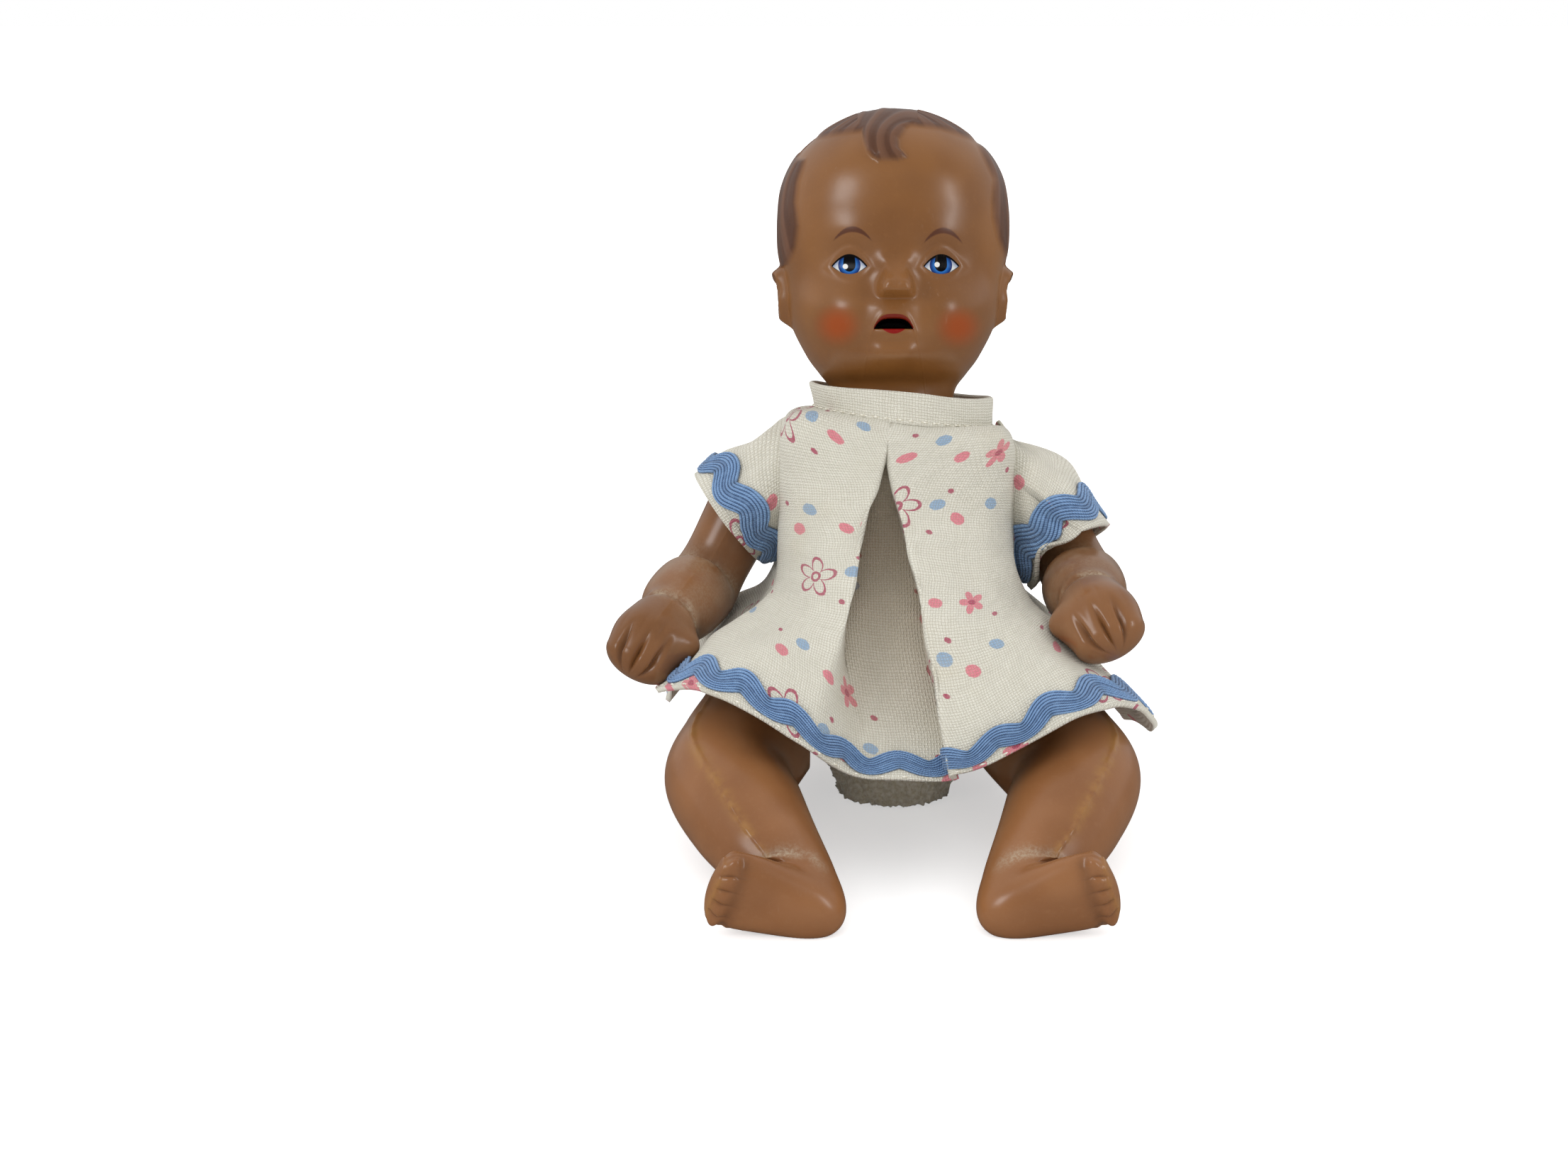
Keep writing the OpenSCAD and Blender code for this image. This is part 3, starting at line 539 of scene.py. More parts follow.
# The arms' celluloid is painted darker, as painted shade under the sleeves
arm_celluloid_shaded = material("celluloid_arm_shaded", lambda: limb_paint(ARM_SKIN_SHADED), Coat_Weight=0.12, Coat_Roughness=0.18)
painted_head = material("celluloid_painted", head_paint, Coat_Weight=0.12, Coat_Roughness=0.2)
turned = material("celluloid_turned", turned_paint)
elastic = material("elastic_braid", cord_paint)


# Cotton, braid and terry
COTTON, COTTON_SHADE, PITCH = srgb(228, 225, 212), srgb(196, 190, 172), 0.43
TILE_W, TILE_H = 28.0, 25.0
PINK, CRIMSON, BLUE = srgb(226, 120, 138), srgb(176, 58, 96), srgb(140, 172, 204)


def weave(s, t):
    """Height of a plain weave at s and t millimetres along the two threads, 0 to 1."""
    a, b = s * (math.pi / PITCH), t * (math.pi / PITCH)
    warp, weft = op("COSINE", a), op("COSINE", b)
    up = ramp(op("SINE", a) * op("SINE", b), -0.25, 0.25)
    return up * (1.0 - warp * warp) + (1.0 - up) * (1.0 - weft * weft)


def petals(s, t, turn, size):
    """Reach beyond the edge of a five-petal blossom about its middle, below zero inside."""
    angle = op("ARCTAN2", t, s) * 2.5 + turn
    return reach(s, t) - (abs(op("COSINE", angle)) * 0.62 + 0.42) * size


def sprigs(s, t):
    """Half-drop spread of drawn blossoms, ovals and dots over cloth, as masks with their colours."""
    odd = op("FLOORED_MODULO", op("FLOOR", s / TILE_W), 2.0)
    u = op("FLOORED_MODULO", s, TILE_W) - TILE_W / 2
    v = op("FLOORED_MODULO", t + odd * (TILE_H / 2), TILE_H) - TILE_H / 2
    edge = noise(join(s, t), 1.6, 2.0) * 0.3 - 0.15

    def oval(x, y, r, turn):
        c, k = math.cos(turn), math.sin(turn)
        a, b = (u - x) * c + (v - y) * k, (v - y) * c - (u - x) * k
        return ramp(reach(a * 0.78, b) + edge - r, 0.08, -0.08)

    def ovals(mask, *rows):
        for row in rows:
            mask = high(mask, oval(*row))
        return mask

    drawn = petals(u + 5.2, v - 4.4, 0.5, 3.7) + edge
    outline = ramp(abs(drawn + 0.3), 0.36, 0.22)
    heart = ramp(abs(reach(u + 5.2, v - 4.4) + edge - 0.75), 0.3, 0.18)
    small = ramp(petals(u - 6.4, v + 5.0, 1.7, 2.1) + edge, 0.1, -0.1)
    crimson = ovals(high(outline, heart), (6.4, -5.0, 0.5, 0.0), (-0.2, 8.4, 0.4, 0.3), (2.2, 0.9, 0.4, 0.3),
                    (10.4, -2.4, 0.4, 0.3), (-9.0, -8.6, 0.4, 0.3))
    pink = ovals(small, (4.4, 5.6, 0.95, 0.6), (-7.6, -4.4, 1.0, -0.4), (0.6, -4.6, 0.85, 0.2))
    blue = ovals(0.0, (0.9, 3.4, 0.95, -0.3), (9.4, 2.8, 0.9, 0.5), (-4.2, -7.6, 0.95, 0.1))
    return (pink, PINK), (crimson, CRIMSON), (blue, BLUE)


def cotton_paint(printed):
    def paint():
        s, t, _ = split(field("cloth", True))
        where = place()
        slub = noise(join(s * 0.22, t * 3.2), 1.0, 2.0) + noise(join(s * 3.2, t * 0.22, 3.0), 1.0, 2.0)
        wobble = noise(join(s, t), 0.35, 1.0) * 0.5
        threads = weave(s + wobble, t + wobble * 0.7)
        colour = mix(ramp(slub, 0.7, 1.3), COTTON_SHADE, COTTON)
        colour = mix(0.72, colour, COTTON)
        if printed:
            fade = 0.75 + noise(join(s, t), 2.0, 2.0) * 0.3
            for mask, ink in sprigs(s, t):
                colour = mix(mask * fade, colour, ink)
        # Painted shade in the gaps between the threads
        colour = mix(ramp(threads, 0.4, 0.0) * 0.5, colour, srgb(150, 138, 112))
        # Painted shade inside the pleat, strongest near its top, with the brown body showing through the thin
        # cloth there
        colour = mix(field("deep") * 0.62, colour, srgb(128, 104, 72))
        stain = ramp(noise(where, 45, 3.0), 0.58, 0.75)
        colour = mix(stain * 0.22, colour, srgb(206, 192, 158))
        height = threads + noise(where, 2600, 2.0) * 0.4
        return colour, 0.92, bump(height, 0.00016, 0.8)
    return paint


def braid_paint():
    s, t, _ = split(field("cloth", True))
    rib = field("rib")
    twist = op("SINE", (s + t * 0.6) * (2 * math.pi / 0.31))
    # Painted light and shade: lighter on the rib tops and darker in the grooves between ribs and in the yarn's
    # twist
    colour = mix(ramp(rib, 0.1, 0.8), srgb(66, 92, 132), srgb(130, 166, 210))
    colour = mix(ramp(twist, 0.2, -0.9) * 0.25, colour, srgb(76, 106, 150))
    colour = mix(ramp(noise(join(s, t), 0.9, 2.0), 0.45, 0.7) * 0.3, colour, srgb(148, 184, 226))
    return colour, 0.42, bump(twist, 0.00006, 0.8)


def thread_paint():
    s, t, _ = split(field("cloth", True))
    twist = op("SINE", (s * 0.7 + t) * 12.0)
    # Painted light and shade: lighter on the ridges of the twist, darker in its grooves
    return mix(ramp(twist, -1.0, 1.0), srgb(214, 208, 190), srgb(238, 234, 222)), 0.8, bump(twist, 0.00006)


def terry_paint():
    fluff = noise(place(), 1500, 3.0, 0.7)
    # Painted shade: the pile is darker where its loops lie low
    colour = mix(ramp(fluff, 0.3, 0.7), srgb(206, 197, 170), srgb(240, 235, 218))
    return colour, 0.95, bump(fluff, 0.0004)


print_cotton = material("printed_cotton", cotton_paint(True), Sheen_Weight=0.15, Sheen_Roughness=0.5)
band_cotton = material("neckband_cotton", cotton_paint(False), Sheen_Weight=0.15, Sheen_Roughness=0.5)
braid = material("rickrack_braid", braid_paint, Sheen_Weight=0.2, Sheen_Roughness=0.35)
sewing = material("sewing_thread", thread_paint)
terry = material("terry_loops", terry_paint, Sheen_Weight=0.3, Sheen_Roughness=0.6)

# Head: rows of its height, half width, depth to the face and depth to the back, as shares of its sizes
HEAD_ROWS = [
    [-0.535, 0.516, 0.53, 0.457], [-0.485, 0.555, 0.56, 0.471], [-0.44, 0.64, 0.73, 0.49],
    [-0.376, 0.755, 0.885, 0.555], [-0.257, 0.895, 0.943, 0.72], [-0.128, 0.93, 0.932, 0.88],
    [0, 0.985, 0.96, 0.976], [0.128, 0.985, 1, 1], [0.236, 0.93, 0.965, 0.94], [0.332, 0.78, 0.82, 0.8],
    [0.407, 0.54, 0.58, 0.57], [0.452, 0.28, 0.3, 0.29], [0.465, 0, 0, 0]]


def mouth_depth(x, z):
    """How far inside the mouth's opening a place on the face lies."""
    dx = x - MOUTH_X
    bow = lip_bow(dx**2, MOUTH_TOP, 0.02)
    return np.minimum(np.minimum(MOUTH_HALF - np.abs(dx), z - MOUTH_FOOT), bow - z)


# Soft swellings and hollows: height, middle and width across, middle and width up
NOSE_FORMS = ((0.22, 2.3, 0.45, -7.4, 0.7), (0.35, 1.1, 0.6, -6.2, 0.65), (0.45, 2.1, 1.0, -2.5, 1.1),
              (-0.35, 4.3, 1.1, -6.6, 1.8))
MOUTH_FORMS = ((-0.15, 0, 0.8, -9.6, 0.8), (0.5, 0, 1.9, -14.1, 0.6), (-0.3, 0, 2.6, -15.6, 0.7),
               (0.35, 2.4, 1.0, -17.8, 1.1))
FACE_FORMS = ((0.7, 0, 3.2, -17.6, 1.5), (1.35, 9.6, 3.5, -10.6, 3.3), (0.4, 7, 3.2, 2.2, 1.6))


def forms(rows, x, z):
    return sum(h * bell(x - cx, wx) * bell(z - cz, wz) for h, cx, wx, cz, wz in rows)


def face_relief(x, z):
    """How far the face stands forward where the camera sees x across and z up."""
    side, n, dx = np.abs(x), np.abs(x - 0.1), x - MOUTH_X
    r = forms(NOSE_FORMS, n, z) + forms(MOUTH_FORMS, np.abs(dx), z) + forms(FACE_FORMS, side, z)
    # Nose: a short blunt wedge with steep sides and a return under it
    wide = 1.75 + 0.75 * ease(-3.4, -6.8, z)
    r += 3.1 * ease(-1.2, -6.9, z) * ease(-8.7, -7.3, z) / (1 + np.exp((n - wide) / 0.26))
    # Muzzle and chin stand as one block with a soft fold each side
    block = np.exp(-((np.abs(dx) / (3.9 - 0.1 * np.clip(z + 13, -6, 3))) ** 4))
    r += 0.8 * block * ease(-7.4, -10.4, z) * ease(-21.5, -17.0, z)
    r += 0.3 * bell(dx, 2.6) * bell(z + 10.9 + 0.07 * dx**2 + 0.016 * dx**4, 0.5)
    r -= 2.6 * ease(-0.12, 0.5, mouth_depth(x, z))
    # Eyes: hollow, lids and ball
    for cx, *_ in EYES:
        ex, arch, up, down = lid_edges(x, z, cx)
        ex, eye = np.abs(ex), np.minimum(up, down)
        r -= 1.1 * bell(x - cx, 3.1) * bell(z + 3.0, 2.4)
        r += 0.22 * bell(eye + 0.7, 0.65) * ease(1.8, 0.9, ex)
        r -= 0.12 * bell(up + 1.5, 0.4) * ease(1.3, 0.5, ex) * ease(-3.8, -2.4, z)
        r += ease(-0.1, 0.4, eye) * (-0.14 + 0.22 * np.clip(arch, 0, 1) * bell(z + 3.1, 1.8))
    return r


# Edges of the hair: heights or places across, and where the edge lies there
LOCK_FROM = [13.4, 13.9, 14.8, 16.1, 18.1, 19.5], [-2.6, -3.6, -4.4, -4.8, -5.2, -5.6]
LOCK_TO = [13.4, 13.9, 14.6, 15.2, 16.7, 18.4, 19.5], [0.2, 1.7, 1.1, 0.5, 0.4, 1.5, 3.2]
CROWN = [-14, -9.1, -5.4, 2.5, 7.1, 11.3, 14], [16.6, 17.6, 18.05, 19.0, 18.5, 17.1, 16.2]
TEMPLE_RIGHT = [-4.2, -3.2, -0.2, 3, 6.7, 10, 13.2, 14], [19.5, 17.0, 15.8, 15.4, 15.8, 15.4, 14.4, 14.4]
TEMPLE_LEFT = [-4.2, -3.2, 1.2, 4.4, 7, 10.4, 15, 16], [19.9, 17.8, 16.3, 15.6, 15.5, 15.8, 13.6, 13.2]
BEHIND_EAR = [-19, -15, -10, -6, -3], [118, 108, 101, 102, 84]


def hair_reach(x, z, a):
    """How far inside the moulded hair and inside its forelock a place lies, in millimetres."""
    turn = np.abs(a)
    back = turn > 90
    crown = z - np.where(back, np.interp(turn, [90, 96, 112], [16.4, 16.4, -20]), np.interp(x, *CROWN))
    edge = np.where(a < 0, np.interp(z, *TEMPLE_RIGHT), np.interp(z, *TEMPLE_LEFT))
    side = np.where(back, (turn - np.interp(z, *BEHIND_EAR)) * 0.31, np.abs(x) - edge)
    top = np.where(a < 0, 13.4, 15.6) + 5 * ease(76, 94, turn) + 40 * ease(93, 99, turn)
    side = np.minimum(side, (top - z) * 0.8)
    lock = np.minimum(np.minimum(x - np.interp(z, *LOCK_FROM), np.interp(z, *LOCK_TO) - x), z - 13.4)
    lock = np.minimum(np.where(turn < 60, lock, -9.0), 1.2)
    nape = z + 17.5 + 1.2 * cosd(a * 6)
    return np.minimum(np.maximum(np.maximum(crown, side), lock), nape), lock


def ear_relief(y, z):
    """How far the ear stands out at y back from the seam and z up, with its rim and hollow."""
    dy, dz = y - 0.5, z + 7.6
    e = np.hypot(dy / (2.7 + 0.14 * np.minimum(dz, 0)), dz / np.where(dz > 0, 4.3, 4.6))
    out = 1.45 * ease(1.2, 0.76, e) * ease(-3.0, -0.8, y)
    rim = bell(e - 0.84, 0.11) * ease(-1.6, -0.2, dy + 0.3 * dz)
    hollow = np.exp(-(np.hypot((y - 0.1) / 1.2, (z + 7.3) / 2.3) ** 3))
    return out + 0.3 * rim - 0.8 * hollow + 0.3 * bell(y + 1.5, 0.5) * bell(z + 8.3, 0.9)


def head_grid(rows, angles):
    """Points and paint fields of the head, at rows of the profile and turns from the front."""
    u, a = np.meshgrid(rows, angles, indexing="ij")
    r = along(HEAD_ROWS, u) * np.array([HEAD_H, HEAD_W / 2, FACE_D, SKULL_D])
    z, (half, face, skull) = r[..., 0], np.maximum(np.moveaxis(r[..., 1:], -1, 0), 1e-4)
    x, y = ring(a, half, face, skull, 2)
    front = ease(0, 0.45, cosd(a))
    across, up = seen(tw(vec(x, y, z + HEAD_C)))
    across, up = x + (across - x) * front, z + (up - z) * front
    forward = face_relief(across, up) * front
    sidewise = ear_relief(y, up) * ease(0.55, 0.85, np.abs(sind(a))) * np.sign(sind(a))
    inside, lock = hair_reach(across, up, a)
    # Hair stands out along the skull with combed waves, swirling from the crown
    out = unit(vec(x, y, z * 0.75))
    whorl = np.degrees(np.arctan2(x, y + 4.0))
    sway = 1.1 * np.sin(z * 0.3 + np.radians(whorl) * 2)
    comb = np.sin(np.radians(whorl * 18) + sway) + 0.5 * np.sin(np.radians(whorl * 41) + 2.1 * sway + 1.3)
    swirl = np.hypot(across - 2.2, up - 16.0)
    curl = np.sin(swirl * 3.0 + 0.4) + 0.35 * np.sin(swirl * 6.6 + 1.0)
    comb = np.where(lock > -0.3, curl, comb)
    lift = 0.34 * ease(-0.5, 0.5, inside) + 0.07 * comb * ease(0.0, 0.9, inside)
    lift += 0.6 * np.sqrt(ease(-0.25, 1.2, lock)) * ease(20.5, 16.5, up)
    seam = 0.05 * bell((np.abs(a) - 90) * 0.31, 0.12) * (z < 19)
    local = vec(x + sidewise, y - forward, z) + out * (lift + seam)[..., None]
    fields = {
        "local": vec(across, y, up),
        "hair": ease(-0.45, 0.4, inside),
        # Painted light and shade along the combed strands, high on their ridges
        "strand": 0.5 + 0.3 * comb,
    }
    return tw(local + np.array([0, 0, HEAD_C])), fields


def spaced(f, n, density):
    """n + 1 shares whose steps along f get shorter where density is high."""
    u = np.linspace(0, 1, 4001)
    step = np.linalg.norm(np.gradient(f(u), axis=0), axis=-1) * density(u)
    s = np.concatenate([[0], np.cumsum((step[1:] + step[:-1]) / 2)])
    return np.interp(np.linspace(0, s[-1], n + 1), s, u)


def head_profile(u):
    r = along(HEAD_ROWS, u)
    return vec(r[:, 0] * HEAD_H, r[:, 2] * FACE_D, 0 * u)


def face_density(u):
    z = along(HEAD_ROWS, u)[:, 0] * HEAD_H
    return 1 + 1.1 * ease(-19, -16, z) * ease(4, 1, z) + 0.4 * ease(12, 14, z)


def make_head():
    rows = spaced(head_profile, 290, face_density)
    s = np.linspace(-1, 1, 331)
    behind = np.linspace(90, 270, 201)
    for name, angles in (("head_front", 90 * (0.72 * s + 0.28 * s**3)),
                         ("head_back", np.where(behind > 180, behind - 360, behind))):
        points, fields = head_grid(rows, angles)
        faces = quads(points.shape, flip=True)
        piece(name + "_skin", points, [faces], "head", painted_head, [name], fields)


make_head()


# Limbs: stations along the limb and across, its heading, and its half thickness and half width
# Shares of a limb's run at which its round ends begin
ROUND_FROM, ROUND_TO = 0.1, 0.88


def limb_ring(stations, d0, d1, u):
    """The limb's ring at a share u of its run, with round ends of depths d0 and d1."""
    a, b = ROUND_FROM, ROUND_TO
    s = along(stations, (u - a) / (b - a))
    q0, q1 = np.pi / 2 * u / a, np.pi / 2 * (u - b) / (1 - b)
    k = np.where(u < a, np.sin(q0), 1) * np.where(u > b, np.cos(q1), 1)
    e = np.where(u < a, -d0 * np.cos(q0), 0) + np.where(u > b, d1 * np.sin(q1), 0)
    heading = s[..., 2]
    cx, cy = s[..., 0] + cosd(heading) * e, s[..., 1] + sind(heading) * e
    return cx, cy, heading, s[..., 3] * k, s[..., 4] * k


def limb_points(g, t, k):
    cx, cy, heading, thick, wide = g
    across = thick * cosd(t) * k
    return vec(cx - sind(heading) * across, cy + cosd(heading) * across, wide * sind(t) * k)


def grooves(s, places, width):
    return np.max([bell(s - c, width) for c in places], axis=0)


# Shares along the arm of its creases and thumb, and along the leg of its creases, toes and toe tips
ELBOW_U, WRIST_U, THUMB_U = 0.36, 0.665, 0.76
KNEE_U, ANKLE_U, CREASE_U, TOES_U, TIPS_U = 0.36, 0.585, 0.852, 0.905, 0.948
# Turns about the leg at which its mould seam shows
SHIN_SEAM, FOOT_SEAM = 38, 264


def ahead(at, deg, far):
    return [at[0] + cosd(deg) * far, at[1] + sind(deg) * far]


ELBOW = [UPPER_ARM, 4.0]
# Headings of the forearm and the hand in degrees
FORE, HAND = 76, 58
WRIST = ahead(ELBOW, FORE, FOREARM)
FIST = ahead(WRIST, HAND, 10)
ARM_STATIONS = [
    [0, 0, 0, SHOULDER_D / 2, SHOULDER_D / 2],
    [UPPER_ARM * 0.42, 0.4, 4, UPPER_ARM_D / 2, UPPER_ARM_D / 2],
    [UPPER_ARM * 0.78, 1.2, 20, UPPER_ARM_D / 2 - 0.2, UPPER_ARM_D / 2 - 0.3],
    [ELBOW[0] + 0.4, ELBOW[1] - 0.6, 48, FOREARM_D / 2 + 0.3, FOREARM_D / 2],
    [*ahead(ELBOW, FORE, FOREARM * 0.35), 74, FOREARM_D / 2, FOREARM_D / 2],
    [*ahead(ELBOW, FORE, FOREARM * 0.75), 76, FOREARM_D / 2 - 0.3, FOREARM_D / 2 - 0.3],
    [*WRIST, 72, WRIST_D / 2, WRIST_D / 2],
    [*ahead(WRIST, HAND, 3.4), 64, HAND_W / 2 - 0.8, HAND_W / 2 - 0.6],
    [*ahead(WRIST, HAND, 7.2), 50, HAND_W / 2 - 0.6, HAND_W / 2],
    [FIST[0] + 1.2, FIST[1] - 1, 20, HAND_W / 2 - 1.4, HAND_W / 2 - 0.3]]
SHOULDER = tw(np.array([0, 0, SHOULDER_Z]))


def arm_grid(u, t, twist, swing):
    g = limb_ring(ARM_STATIONS, SHOULDER_D / 2, 3.2, u)
    s = sind(t)
    hand = ease(0.8, 0.88, u) * (1 - 0.8 * ease(0.92, 0.985, u)) * ease(-0.6, 0.2, cosd(t))
    split_fingers = grooves(s, (-0.5, 0.0, 0.5), 0.05) * hand
    plump = (np.abs(np.sin(2 * np.pi * s)) ** 0.6 - 0.5) * hand
    thumb = bell(u - THUMB_U, 0.035) * bell((t - 290 + 180) % 360 - 180, 17)
    wrist = bell(u - WRIST_U, 0.012) * (0.75 + 0.25 * cosd(t))
    elbow = bell(u - ELBOW_U, 0.016) * ease(0.2, 0.9, cosd(t))
    knuckle = bell(u - 0.81, 0.025) * ease(0.3, 0.9, cosd(t)) * np.abs(np.sin(np.pi * (s - 0.25) * 2))
    seam = bell(np.minimum(np.abs((t + 180) % 360 - 180), np.abs(t % 360 - 180)), 2.0)
    k = (1 - 0.15 * split_fingers + 0.06 * plump + 0.3 * thumb - 0.1 * wrist - 0.06 * elbow + 0.03 * knuckle
         + 0.005 * seam + 0.15 * bell(u - 0.48, 0.1))
    q = limb_points(g, t, k)
    w = rx(ry(rz(vec(q[..., 2], -q[..., 1], -q[..., 0]), twist), -ARM_SPLAY), -swing)
    w[..., 0] = np.maximum(w[..., 0] + ARM_X, ARM_FLAT)
    # Painted shade between the fingers and in the wrist and elbow creases
    dent = np.clip(split_fingers + wrist * 0.5 + elbow * 0.4, 0, 1)
    dust = np.clip(0.95 * bell(u - WRIST_U, 0.02) + 0.9 * bell(u - 0.38, 0.05) * ease(-0.3, 0.8, cosd(t))
                   + 0.3 * bell(u - 0.5, 0.12), 0, 1)
    return w + SHOULDER, {"dent": dent, "dust": dust, "glue": 0.1 * seam}


KNEE = (THIGH, 7.0)
ANKLE = (THIGH + SHIN * 0.96, -2.6)
FOOT_FRONT = ANKLE[0] + 7.2
LEG_STATIONS = [
    [0, 1, 0, THIGH_D / 2 - 0.4, THIGH_D / 2 - 0.6],
    [THIGH * 0.33, 1.8, 5, THIGH_D / 2, THIGH_D / 2],
    [THIGH * 0.7, 4.8, 8, THIGH_D / 2 - 0.2, THIGH_D / 2 - 0.1],
    [KNEE[0], KNEE[1], -4, KNEE_D / 2, KNEE_D / 2],
    [KNEE[0] + SHIN * 0.36, KNEE[1] - 3, -22, KNEE_D / 2 - 0.7, KNEE_D / 2 - 0.5],
    [KNEE[0] + SHIN * 0.7, KNEE[1] - 6.6, -22, ANKLE_D / 2 + 1.3, ANKLE_D / 2 + 1],
    [ANKLE[0], ANKLE[1], -6, ANKLE_D / 2 + 0.4, ANKLE_D / 2 - 0.2],
    [ANKLE[0] + 3.6, ANKLE[1] - 0.6, 26, FOOT_LEN * 0.37, FOOT_W / 2 - 0.9],
    [FOOT_FRONT - 2.2, ANKLE[1] + FOOT_LEN * 0.08, 60, FOOT_LEN * 0.22, FOOT_W / 2 - 0.7],
    [FOOT_FRONT - 1.6, ANKLE[1] + FOOT_LEN * 0.3, 76, FOOT_LEN * 0.155, FOOT_W / 2 - 0.1],
    [FOOT_FRONT - 1.2, ANKLE[1] + FOOT_LEN * 0.47, 84, FOOT_LEN * 0.125, FOOT_W / 2]]


def leg_grid(u, t):
    g = limb_ring(LEG_STATIONS, THIGH_D / 2 - 0.6, 2.4, u)
    s, c = sind(t), cosd(t)
    # Toes: five small pads in front of a crease, at the outer end of the sole
    pads = np.abs(np.cos(2.5 * np.pi * s)) ** 0.7 - 0.45
    sole = ease(0.1, -0.5, c)
    toes = bell(u - TOES_U, 0.028) * pads * (0.24 * sole + 0.14 * ease(-0.1, 0.4, c))
    crease = bell(u - CREASE_U, 0.014) * sole
    ankle = bell(u - ANKLE_U, 0.012) * ease(-0.2, 0.8, c)
    knee = bell(u - KNEE_U, 0.03) * ease(0.2, 1.0, np.abs(s)) * ease(0.2, -0.6, c)
    # Mould seam: down the shin, round the toes and under the sole
    rough_seam = 1 + 0.5 * np.sin(u * 210) * np.sin(u * 57 + 1)
    from_seam = (t - SHIN_SEAM + 180) % 360 - 180
    shin = bell(from_seam, 1.8) * ease(0.16, 0.3, u) * ease(0.66, 0.6, u)
    edge = bell(t - FOOT_SEAM, 3.0) * ease(0.58, 0.66, u) * ease(0.97, 0.93, u)
    tips = bell(u - TIPS_U, 0.009) * ease(0.7, 0.3, c) * ease(-0.98, -0.6, s)
    k = (1 + toes - 0.09 * crease - 0.05 * ankle - 0.03 * knee + 0.03 * shin * rough_seam
         + 0.03 * edge * rough_seam + 0.17 * tips)
    q = limb_points(g, t, k)
    w = rx(ry(vec(q[..., 1], -q[..., 0], q[..., 2]), -LEG_ROLL), LEG_PITCH) + np.array([LEG_X, 0, HIP_Z])
    w[..., 0] = np.where(u < 0.45, np.maximum(w[..., 0], LEG_FLAT), w[..., 0])
    w[..., 2] = np.maximum(w[..., 2], 0)
    # Painted shade between the toes and in the toe and ankle creases
    dent = 1.2 * bell(u - TOES_U, 0.03) * sole * ease(0.0, -0.4, pads) + 0.7 * crease + 0.5 * ankle
    dust = bell(u - 0.592, 0.016) * ease(-0.5, 0.6, c + 0.4 * s) + 0.02
    glue = (bell(from_seam, 5.0) * ease(0.2, 0.35, u) * ease(0.66, 0.6, u)
            + 0.7 * bell(t - FOOT_SEAM, 8.0) * ease(0.58, 0.66, u)
            + 0.8 * bell(u - TIPS_U, 0.016) * ease(0.7, 0.3, c))
    return w, {"dent": np.clip(dent, 0, 1), "dust": np.clip(dust, 0, 1), "glue": np.clip(glue, 0, 1)}


LIMB_TREES = {}


def make_limb(nodes, body, grid, rows, side, flip, mat):
    """Two glued halves of a limb, split along its mould seam."""
    for node, start in zip(nodes, (0, 180)):
        u, t = np.meshgrid(rows, start + np.linspace(0, 180, 111), indexing="ij")
        points, fields = grid(u, t)
        points = points * np.array([side, 1, 1])
        faces = quads(points.shape, flip=flip)
        LIMB_TREES[node] = BVHTree.FromPolygons(points.reshape(-1, 3).tolist(), faces.tolist())
        piece(node + "_skin", points, [faces], body, mat, [node], fields)


def make_limbs():
    # Closer rows from the wrist or the ankle on
    fine = 0.74
    rows = np.concatenate([np.linspace(0, ROUND_FROM, 14)[:-1], np.linspace(ROUND_FROM, fine, 130)[:-1],
                           np.linspace(fine, ROUND_TO, 60)[:-1], np.linspace(ROUND_TO, 1, 40)])
    for name, side, twist, swing, _ in ARMS:
        def arm(u, t, twist=twist, swing=swing):
            return arm_grid(u, t, twist, swing)
        arms, legs = name + "_arm", name + "_leg"
        make_limb((arms + "_outer", arms + "_inner"), arms, arm, rows, side, side > 0, arm_celluloid_shaded)
        make_limb((legs + "_upper", legs + "_lower"), legs, leg_grid, rows, side, side < 0, celluloid)


make_limbs()


# Dress: one drape surface from the neckline at u = 0 to the hem at u = 1
def neck_rise(a):
    return 1.8 * (1 - cosd(a)) - 0.8 * ease(90, 180, np.abs(a))


def drape_rings(a):
    k = np.abs(a)
    neck = tw(vec(NECK_SHIFT + COLLAR_R * sind(a), -COLLAR_R * cosd(a), COLLAR_Z + neck_rise(a)))
    neck[..., 2] += (DRESS_SKEW - NECK_TILT) * COLLAR_R * sind(a)
    x, y = ring(a, YOKE_W / 2 - np.where(a < 0, 1.7, 0.7), 15.6, 14.6, 4)
    yoke = tw(vec(x, y, SHOULDER_Z + 5.4 + np.where(a < 0, 4.2, 2.3) * sind(a) ** 2))
    x, y = ring(a, YOKE_W / 2 - np.where(a < 0, 0.9, 0.3), 20, 17.4, 3.2)
    chest = tw(vec(x, y, SHOULDER_Z - 7 + 0 * a))
    x, y = ring(a, YOKE_W / 2 + np.where(a < 0, 0.6, 1.2), HEM_FRONT - 14, HEM_BACK - 11, 3)
    mid = vec(x, y + 1, HEM_DROP + 18 - 4.5 * ease(40, 90, k) - 4.5 * ease(90, 180, k))
    x, y = ring(a, YOKE_W / 2 + 9.4, HEM_FRONT - 5, HEM_BACK - 5, 3.2)
    lap = vec(x, y, HEM_DROP + 7.4 + 6.4 * ease(8, 34, k) - 7 * ease(42, 76, k) - 7 * ease(90, 160, k))
    x, y = ring(a, HEM_W / 2, HEM_FRONT, HEM_BACK, 3.6)
    fall = np.where(a < 0, 4, 9) * ease(39, 60, k) + np.where(a < 0, 10, 5) * ease(60, 90, k)
    hem = vec(x + 2.2 * bell(a - 58, 14), y, HEM_DROP + 9 * ease(6, 36, k) - fall - 7 * ease(90, 150, k))
    return [neck, yoke, chest, mid, lap, hem]


